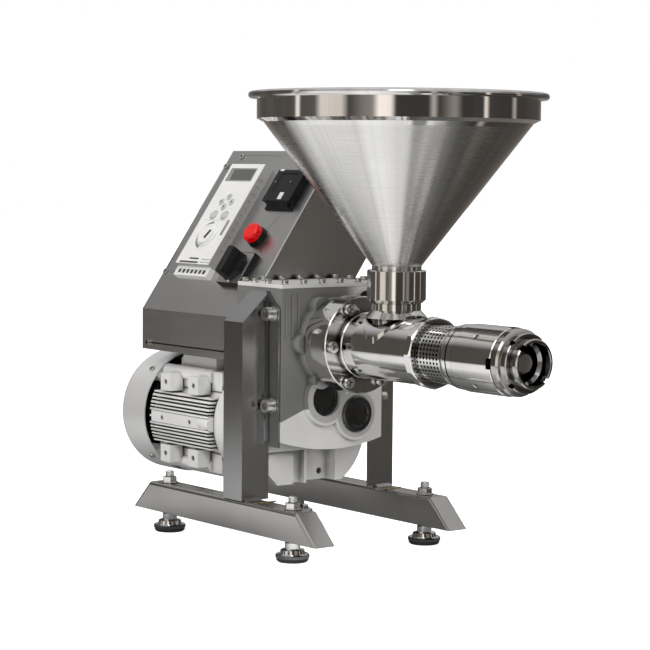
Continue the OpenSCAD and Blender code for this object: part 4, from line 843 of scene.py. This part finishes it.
def makeStrainer():
    cage = strainer
    pitch = (cage["to"] - cage["holesFrom"] - cage["rim"]) / cage["rows"]
    side = math.tau * cage["outer"] / cage["round"]
    bm = bmesh.new()
    addHoleCell(bm, side, pitch)
    cell = [*bm.verts, *bm.edges, *bm.faces]
    for row in range(cage["rows"]):
        for k in range(cage["round"]):
            if row or k:
                copied = vertsIn(bmesh.ops.duplicate(bm, geom=cell)["geom"])
                bmesh.ops.translate(bm, vec=(k * side, row * pitch, 0), verts=copied)
    bmesh.ops.remove_doubles(bm, verts=bm.verts, dist=cage["join"])
    low = min(vert.co.y for vert in bm.verts)
    high = max(vert.co.y for vert in bm.verts)
    drawOut(bm, low, low - (cage["holesFrom"] - cage["from"]))
    drawOut(bm, high, high + cage["rim"])
    start = min(vert.co.y for vert in bm.verts)
    radius = cage["outer"]
    for vert in bm.verts:
        turn = vert.co.x / radius
        vert.co = (radius * math.sin(turn), vert.co.y - start, radius * math.cos(turn))
    bmesh.ops.remove_doubles(bm, verts=bm.verts, dist=cage["join"])
    bmesh.ops.recalc_face_normals(bm, faces=bm.faces)
    bmesh.ops.solidify(bm, geom=list(bm.faces), thickness=cage["outer"] - cage["inner"])
    place = Matrix.Translation(Vector((0, -cage["from"], cage["axis"]))) @ rotation(180, "Z")
    piece = addPiece("roundHoleStrainer", bm, place, "turnedSteel")
    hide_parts("strainer_cage")


# Threads on the levelling studs above their nuts
studs = {
    "radius": 5.0, "sunk": 0.2, "root": 0.05, "ridge": 0.45, "pitch": 1.5, "turns": 4, "lift": 0.3,
    "steps": 20, "footRadius": 20,
}


def makeStudThreads():
    radius, pitch, turns = studs["radius"], studs["pitch"], studs["turns"]
    outline = [(radius - studs["sunk"], 0)]
    for k in range(turns):
        outline.append((radius + studs["root"], k * pitch))
        outline.append((radius + studs["ridge"], (k + 0.5) * pitch))
    outline.append((radius + studs["root"], turns * pitch))
    outline.append((radius - studs["sunk"], turns * pitch))
    low, high = boxOf("foot_glides")
    start = boxOf("foot_nuts")[1].z + studs["lift"]
    reach = studs["footRadius"]
    bm = bmesh.new()
    for x in (low.x + reach, high.x - reach):
        for y in (low.y + reach, high.y - reach):
            before = set(bm.verts)
            addTurn(bm, outline, studs["steps"])
            fresh = [vert for vert in bm.verts if vert not in before]
            bmesh.ops.translate(bm, vec=(x, y, start), verts=fresh)
    addPiece("studThreads", bm, Matrix(), "screwSteel")


# Weld beads along the posts' feet, each a row of flattened drops
welds = {
    "posts": ("left_post", "right_post"), "step": 2.6, "size": (2.0, 1.5, 1.1), "inset": 3, "lift": 0.3,
}


def makeWelds():
    step, inset = welds["step"], welds["inset"]
    bm = bmesh.new()
    for post in welds["posts"]:
        low, high = boxOf(post)
        for k in range(int((high.x - low.x - 2 * inset) / step)):
            drop = bmesh.ops.create_icosphere(bm, subdivisions=2, radius=1)["verts"]
            bmesh.ops.scale(bm, vec=welds["size"], verts=drop)
            at = (low.x + inset + (k + 0.5) * step, low.y, low.z + welds["lift"])
            bmesh.ops.translate(bm, vec=at, verts=drop)
    addPiece("weldBeads", bm, Matrix(), "weldMetal")


# Thin ribs between the motor frame's side fins
ribs = {
    "core": 64.0, "inset": 1.5, "sunk": 1, "thick": 1.7, "edge": 0.3, "heights": (13.5, 22.5, 31.5),
    "axis": 137, "from": 153, "to": 281,
}


def makeMotorRibs():
    low, high = boxOf("motor_frame")
    radius = (high.x - low.x) / 2 - ribs["inset"]
    middle = (ribs["from"] + ribs["to"]) / 2
    bars = []
    for side in (-1, 1):
        for height in ribs["heights"]:
            outer = math.sqrt(radius ** 2 - height ** 2)
            inner = math.sqrt(ribs["core"] ** 2 - height ** 2) - ribs["sunk"]
            size = (outer - inner, ribs["to"] - ribs["from"], ribs["thick"])
            for rise in (-height, height):
                at = (side * (outer + inner) / 2, middle, ribs["axis"] + rise - ribs["thick"] / 2)
                bars.append((size, 0.0, at, 0, ribs["edge"]))
    barPiece("motorRibs", bars, Matrix(), "motorAluminium")


# Painted shade: dark discs at the bottoms of the spanner holes round the press head
spannerHoles = {
    "at": (0, -287, 249), "count": 8, "sides": 16, "radius": 2.8, "depth": 37.4, "thick": 0.5,
}


def makeHoleShades():
    holes = spannerHoles
    bm = bmesh.new()
    for k in range(holes["count"]):
        disc = addPrism(bm, holes["sides"], holes["radius"], holes["thick"], (0, 0, holes["depth"]))
        turn = Matrix.Rotation(math.tau * k / holes["count"], 3, "Y")
        bmesh.ops.rotate(bm, cent=(0, 0, 0), matrix=turn, verts=disc)
    addPiece("holeShades", bm, Matrix.Translation(Vector(holes["at"])), "darkPrintAndShade")


makeMotorRibs()
makeHoleShades()
makeFan()
makeStrainer()
makeStudThreads()
makeWelds()
print("ribs, hole bottoms, fan, strainer, threads and welds made")


# Room, light and camera

room = {
    "floorSize": 30.0, "floorColor": (0.9, 0.9, 0.9), "floorGlow": 0.86, "specular": 0.1,
    "cloudScale": 2.0, "cloudDetail": 2.0, "rough": (0.55, 0.65),
    "tableAt": (-0.8, -0.15), "tableRadius": (0.75, 1.2), "tableBlend": 0.1, "tableGlow": (1.0, 0.0),
    "shadeAt": (0.0, 0.16), "shadeRadius": (0.2, 0.36), "shadeTone": (0.25, 1.0),
    "sectorsAt": (0.0, -0.1185, 0),
    "sectors": [(-180, 0.7), (-110, 0.8), (-95, 1.0), (12, 1.0), (16, 0.3), (29, 0.3), (33, 1.1),
                (46, 1.0), (54, 0.35), (110, 0.3), (140, 0.6), (180, 0.7)],
}

# Tones of the walls and heights of their tops, by the degrees round the room: the camera's side
# is at 0 and its right at 90. The card hangs at its own degrees round and up
walls = {
    "turn": 128.16, "tint": (1.0, 0.91, 0.83),
    "tone": [(-180, 0.3), (-150, 0.1), (-98, 0.09), (-93, 0.1), (-92, 0.9), (-88, 0.9), (-87, 0.1),
             (-72, 0.12), (-66, 0.85), (-48, 0.8), (-42, 0.08), (-22, 0.3), (-17, 1.2), (-8, 1.2),
             (-4, 0.06), (22, 0.05), (26, 0.6), (30, 0.06), (44, 0.3), (50, 0.05), (69, 0.06),
             (72, 1.1), (75, 0.06), (100, 0.05), (104, 0.5), (108, 0.05), (150, 0.08), (180, 0.3)],
    "top": [(-180, 0.1), (-160, 0.2), (-140, 0.45), (-90, 0.4), (-70, 0.3), (0, 0.3), (90, 0.3),
            (160, 0.12), (180, 0.1)],
    "topBlend": 0.16, "upper": (0.42, 0.7), "upperReach": (0.3, 0.9),
    "card": (0.0, 42.0), "cardReach": (0.972, 0.984), "cardTone": 2.6,
}


# A value that changes with the distance from a place on the floor
def roundOf(tree, place, middle, reach, values):
    moved = mapped(tree, place, (1, 1, 1), (-middle[0], -middle[1], 0))
    return rangeOf(tree, vectorOf(tree, "LENGTH", moved)["Value"], *values, *reach)


# A vector turned to the camera's side, and its azimuth as a share of a full turn
def azimuthOf(tree, vector):
    turn = (0, 0, math.radians(walls["turn"]))
    direction = addNode(tree, "Mapping", {"Vector": vector, "Rotation": turn}).outputs["Vector"]
    parts = partsOf(tree, direction)
    azimuth = mathOf(tree, "ARCTAN2", parts["Y"], parts["X"])
    return rangeOf(tree, azimuth, 0.0, 1.0, -math.pi, math.pi), direction, parts["Z"]


def rampOf(tree, value, stops):
    ramp = addNode(tree, "ValToRGB", {"Fac": value})
    elements = ramp.color_ramp.elements
    while len(elements) < len(stops):
        elements.new(0.5)
    for element, (degrees, tone) in zip(elements, stops):
        element.position = (degrees + 180) / 360
        element.color = (tone, tone, tone, 1)
    return ramp.outputs["Color"]


def mixShader(tree, factor, shaderA, shaderB):
    return addNode(tree, "MixShader", {0: factor, 1: shaderA, 2: shaderB}).outputs["Shader"]


# The floor is white to the camera; in reflections it is a lit round table with the machine's shade
def floorMaterial(name):
    mat, tree, bsdf, place = startMaterial(name)
    cloud = noiseOf(tree, place, room["cloudScale"], room["cloudDetail"])
    fill(tree, bsdf, {
        "Base Color": room["floorColor"], "Roughness": rangeOf(tree, cloud, *room["rough"]),
        "Specular IOR Level": room["specular"], "Emission Color": (1, 1, 1),
        "Emission Strength": room["floorGlow"],
    })
    edge = room["tableRadius"][1]
    lit = roundOf(tree, place, room["tableAt"], room["tableRadius"], room["tableGlow"])
    shade = roundOf(tree, place, room["shadeAt"], room["shadeRadius"], room["shadeTone"])
    outside = roundOf(tree, place, room["tableAt"], (edge - room["tableBlend"], edge), (0.0, 1.0))
    around = vectorOf(tree, "SUBTRACT", place, room["sectorsAt"])["Vector"]
    sectors = rampOf(tree, azimuthOf(tree, around)[0], room["sectors"])
    strength = mathOf(tree, "MULTIPLY", lit, shade)
    glow = addNode(tree, "Emission", {"Color": sectors, "Strength": strength})
    clear = tree.nodes.new("ShaderNodeBsdfTransparent")
    table = mixShader(tree, outside, glow.outputs["Emission"], clear.outputs["BSDF"])
    seen = tree.nodes.new("ShaderNodeLightPath").outputs["Is Camera Ray"]
    fill(tree, tree.nodes["Material Output"],
         {"Surface": mixShader(tree, seen, table, bsdf.outputs["BSDF"])})
    return mat


def makeFloor():
    bm = bmesh.new()
    bmesh.ops.create_grid(bm, x_segments=1, y_segments=1, size=room["floorSize"] / 2)
    mesh = bpy.data.meshes.new("floor")
    bm.to_mesh(mesh)
    bm.free()
    mesh.materials.append(floorMaterial("floorPaper"))
    floor = bpy.data.objects.new("floor", mesh)
    bpy.context.scene.collection.objects.link(floor)


# The world is white to the camera too, and the tinted walls with their card in reflections
def makeWorld():
    world = bpy.data.worlds.new("studio")
    bpy.context.scene.world = world
    world.use_nodes = True
    tree = world.node_tree
    coord = tree.nodes.new("ShaderNodeTexCoord")
    azimuth, direction, height = azimuthOf(tree, coord.outputs["Generated"])
    tone = rampOf(tree, azimuth, walls["tone"])
    wall = mixColor(tree, 1.0, tone, walls["tint"], "MULTIPLY")
    over = mathOf(tree, "SUBTRACT", height, rampOf(tree, azimuth, walls["top"]))
    upper = rangeOf(tree, height, *walls["upper"], *walls["upperReach"])
    seen = mixColor(tree, rangeOf(tree, over, 0.0, 1.0, 0.0, walls["topBlend"]), wall, upper)
    across, rise = (math.radians(angle) for angle in walls["card"])
    toCard = (math.cos(across) * math.cos(rise), math.sin(across) * math.cos(rise), math.sin(rise))
    near = vectorOf(tree, "DOT_PRODUCT", direction, toCard)["Value"]
    card = rangeOf(tree, near, 0.0, 1.0, *walls["cardReach"])
    seen = mixColor(tree, card, seen, [walls["cardTone"]] * 3)
    camera = tree.nodes.new("ShaderNodeLightPath").outputs["Is Camera Ray"]
    fill(tree, tree.nodes["Background"],
         {"Color": mixColor(tree, camera, seen, (1, 1, 1)), "Strength": 1.0})


# Each softbox: where it stands, what it looks at, its size and its power
softboxes = {
    "keyBox": {"at": (-1.6, -1.9, 2.3), "to": (0, -0.1, 0.25), "size": (1.6, 1.1), "power": 26},
    "topBox": {"at": (0.3, -0.2, 2.6), "to": (0, -0.1, 0.3), "size": (2.2, 1.6), "power": 16},
    "sideBox": {"at": (-2.6, 0.9, 1.3), "to": (0, 0, 0.3), "size": (0.7, 1.8), "power": 10},
    "frontBox": {"at": (0.9, -2.6, 1.2), "to": (0, 0, 0.25), "size": (1.2, 1.4), "power": 16},
    "backBox": {"at": (1.0, 2.6, 1.7), "to": (0, 0, 0.35), "size": (1.4, 1.2), "power": 10},
}


def makeLights():
    for name, box in softboxes.items():
        data = bpy.data.lights.new(name, "AREA")
        data.shape = "RECTANGLE"
        data.size, data.size_y = box["size"]
        data.energy = box["power"]
        light = bpy.data.objects.new(name, data)
        light.location = box["at"]
        light.visible_glossy = False
        direction = Vector(box["to"]) - Vector(box["at"])
        light.rotation_euler = direction.to_track_quat("-Z", "Y").to_euler()
        bpy.context.scene.collection.objects.link(light)


# The photograph's view: position, yaw, pitch and roll found by matching known edges
lens = {
    "at": (-1.5896, -2.0074, 0.462), "yaw": 38.16, "pitch": 4.31, "roll": 0.52, "focal": 117.6,
    "sensor": 36.0, "clip": (0.05, 100),
}


def makeCamera():
    data = bpy.data.cameras.new("photoCamera")
    data.lens = lens["focal"]
    data.sensor_width = lens["sensor"]
    data.clip_start, data.clip_end = lens["clip"]
    camera = bpy.data.objects.new("photoCamera", data)
    bpy.context.scene.collection.objects.link(camera)
    yaw, pitch, roll = (math.radians(lens[key]) for key in ("yaw", "pitch", "roll"))
    level = math.cos(pitch)
    forward = Vector((math.sin(yaw) * level, math.cos(yaw) * level, -math.sin(pitch)))
    right = forward.cross(Vector((0, 0, 1))).normalized()
    up = right.cross(forward)
    rolledRight = right * math.cos(roll) + up * math.sin(roll)
    rolledUp = up * math.cos(roll) - right * math.sin(roll)
    turn = Matrix((rolledRight, rolledUp, -forward)).transposed()
    camera.matrix_world = Matrix.Translation(Vector(lens["at"])) @ turn.to_4x4()
    bpy.context.scene.camera = camera


makeFloor()
makeWorld()
makeLights()
makeCamera()
bpy.context.scene.view_settings.view_transform = "Standard"
print("room, light and camera set")
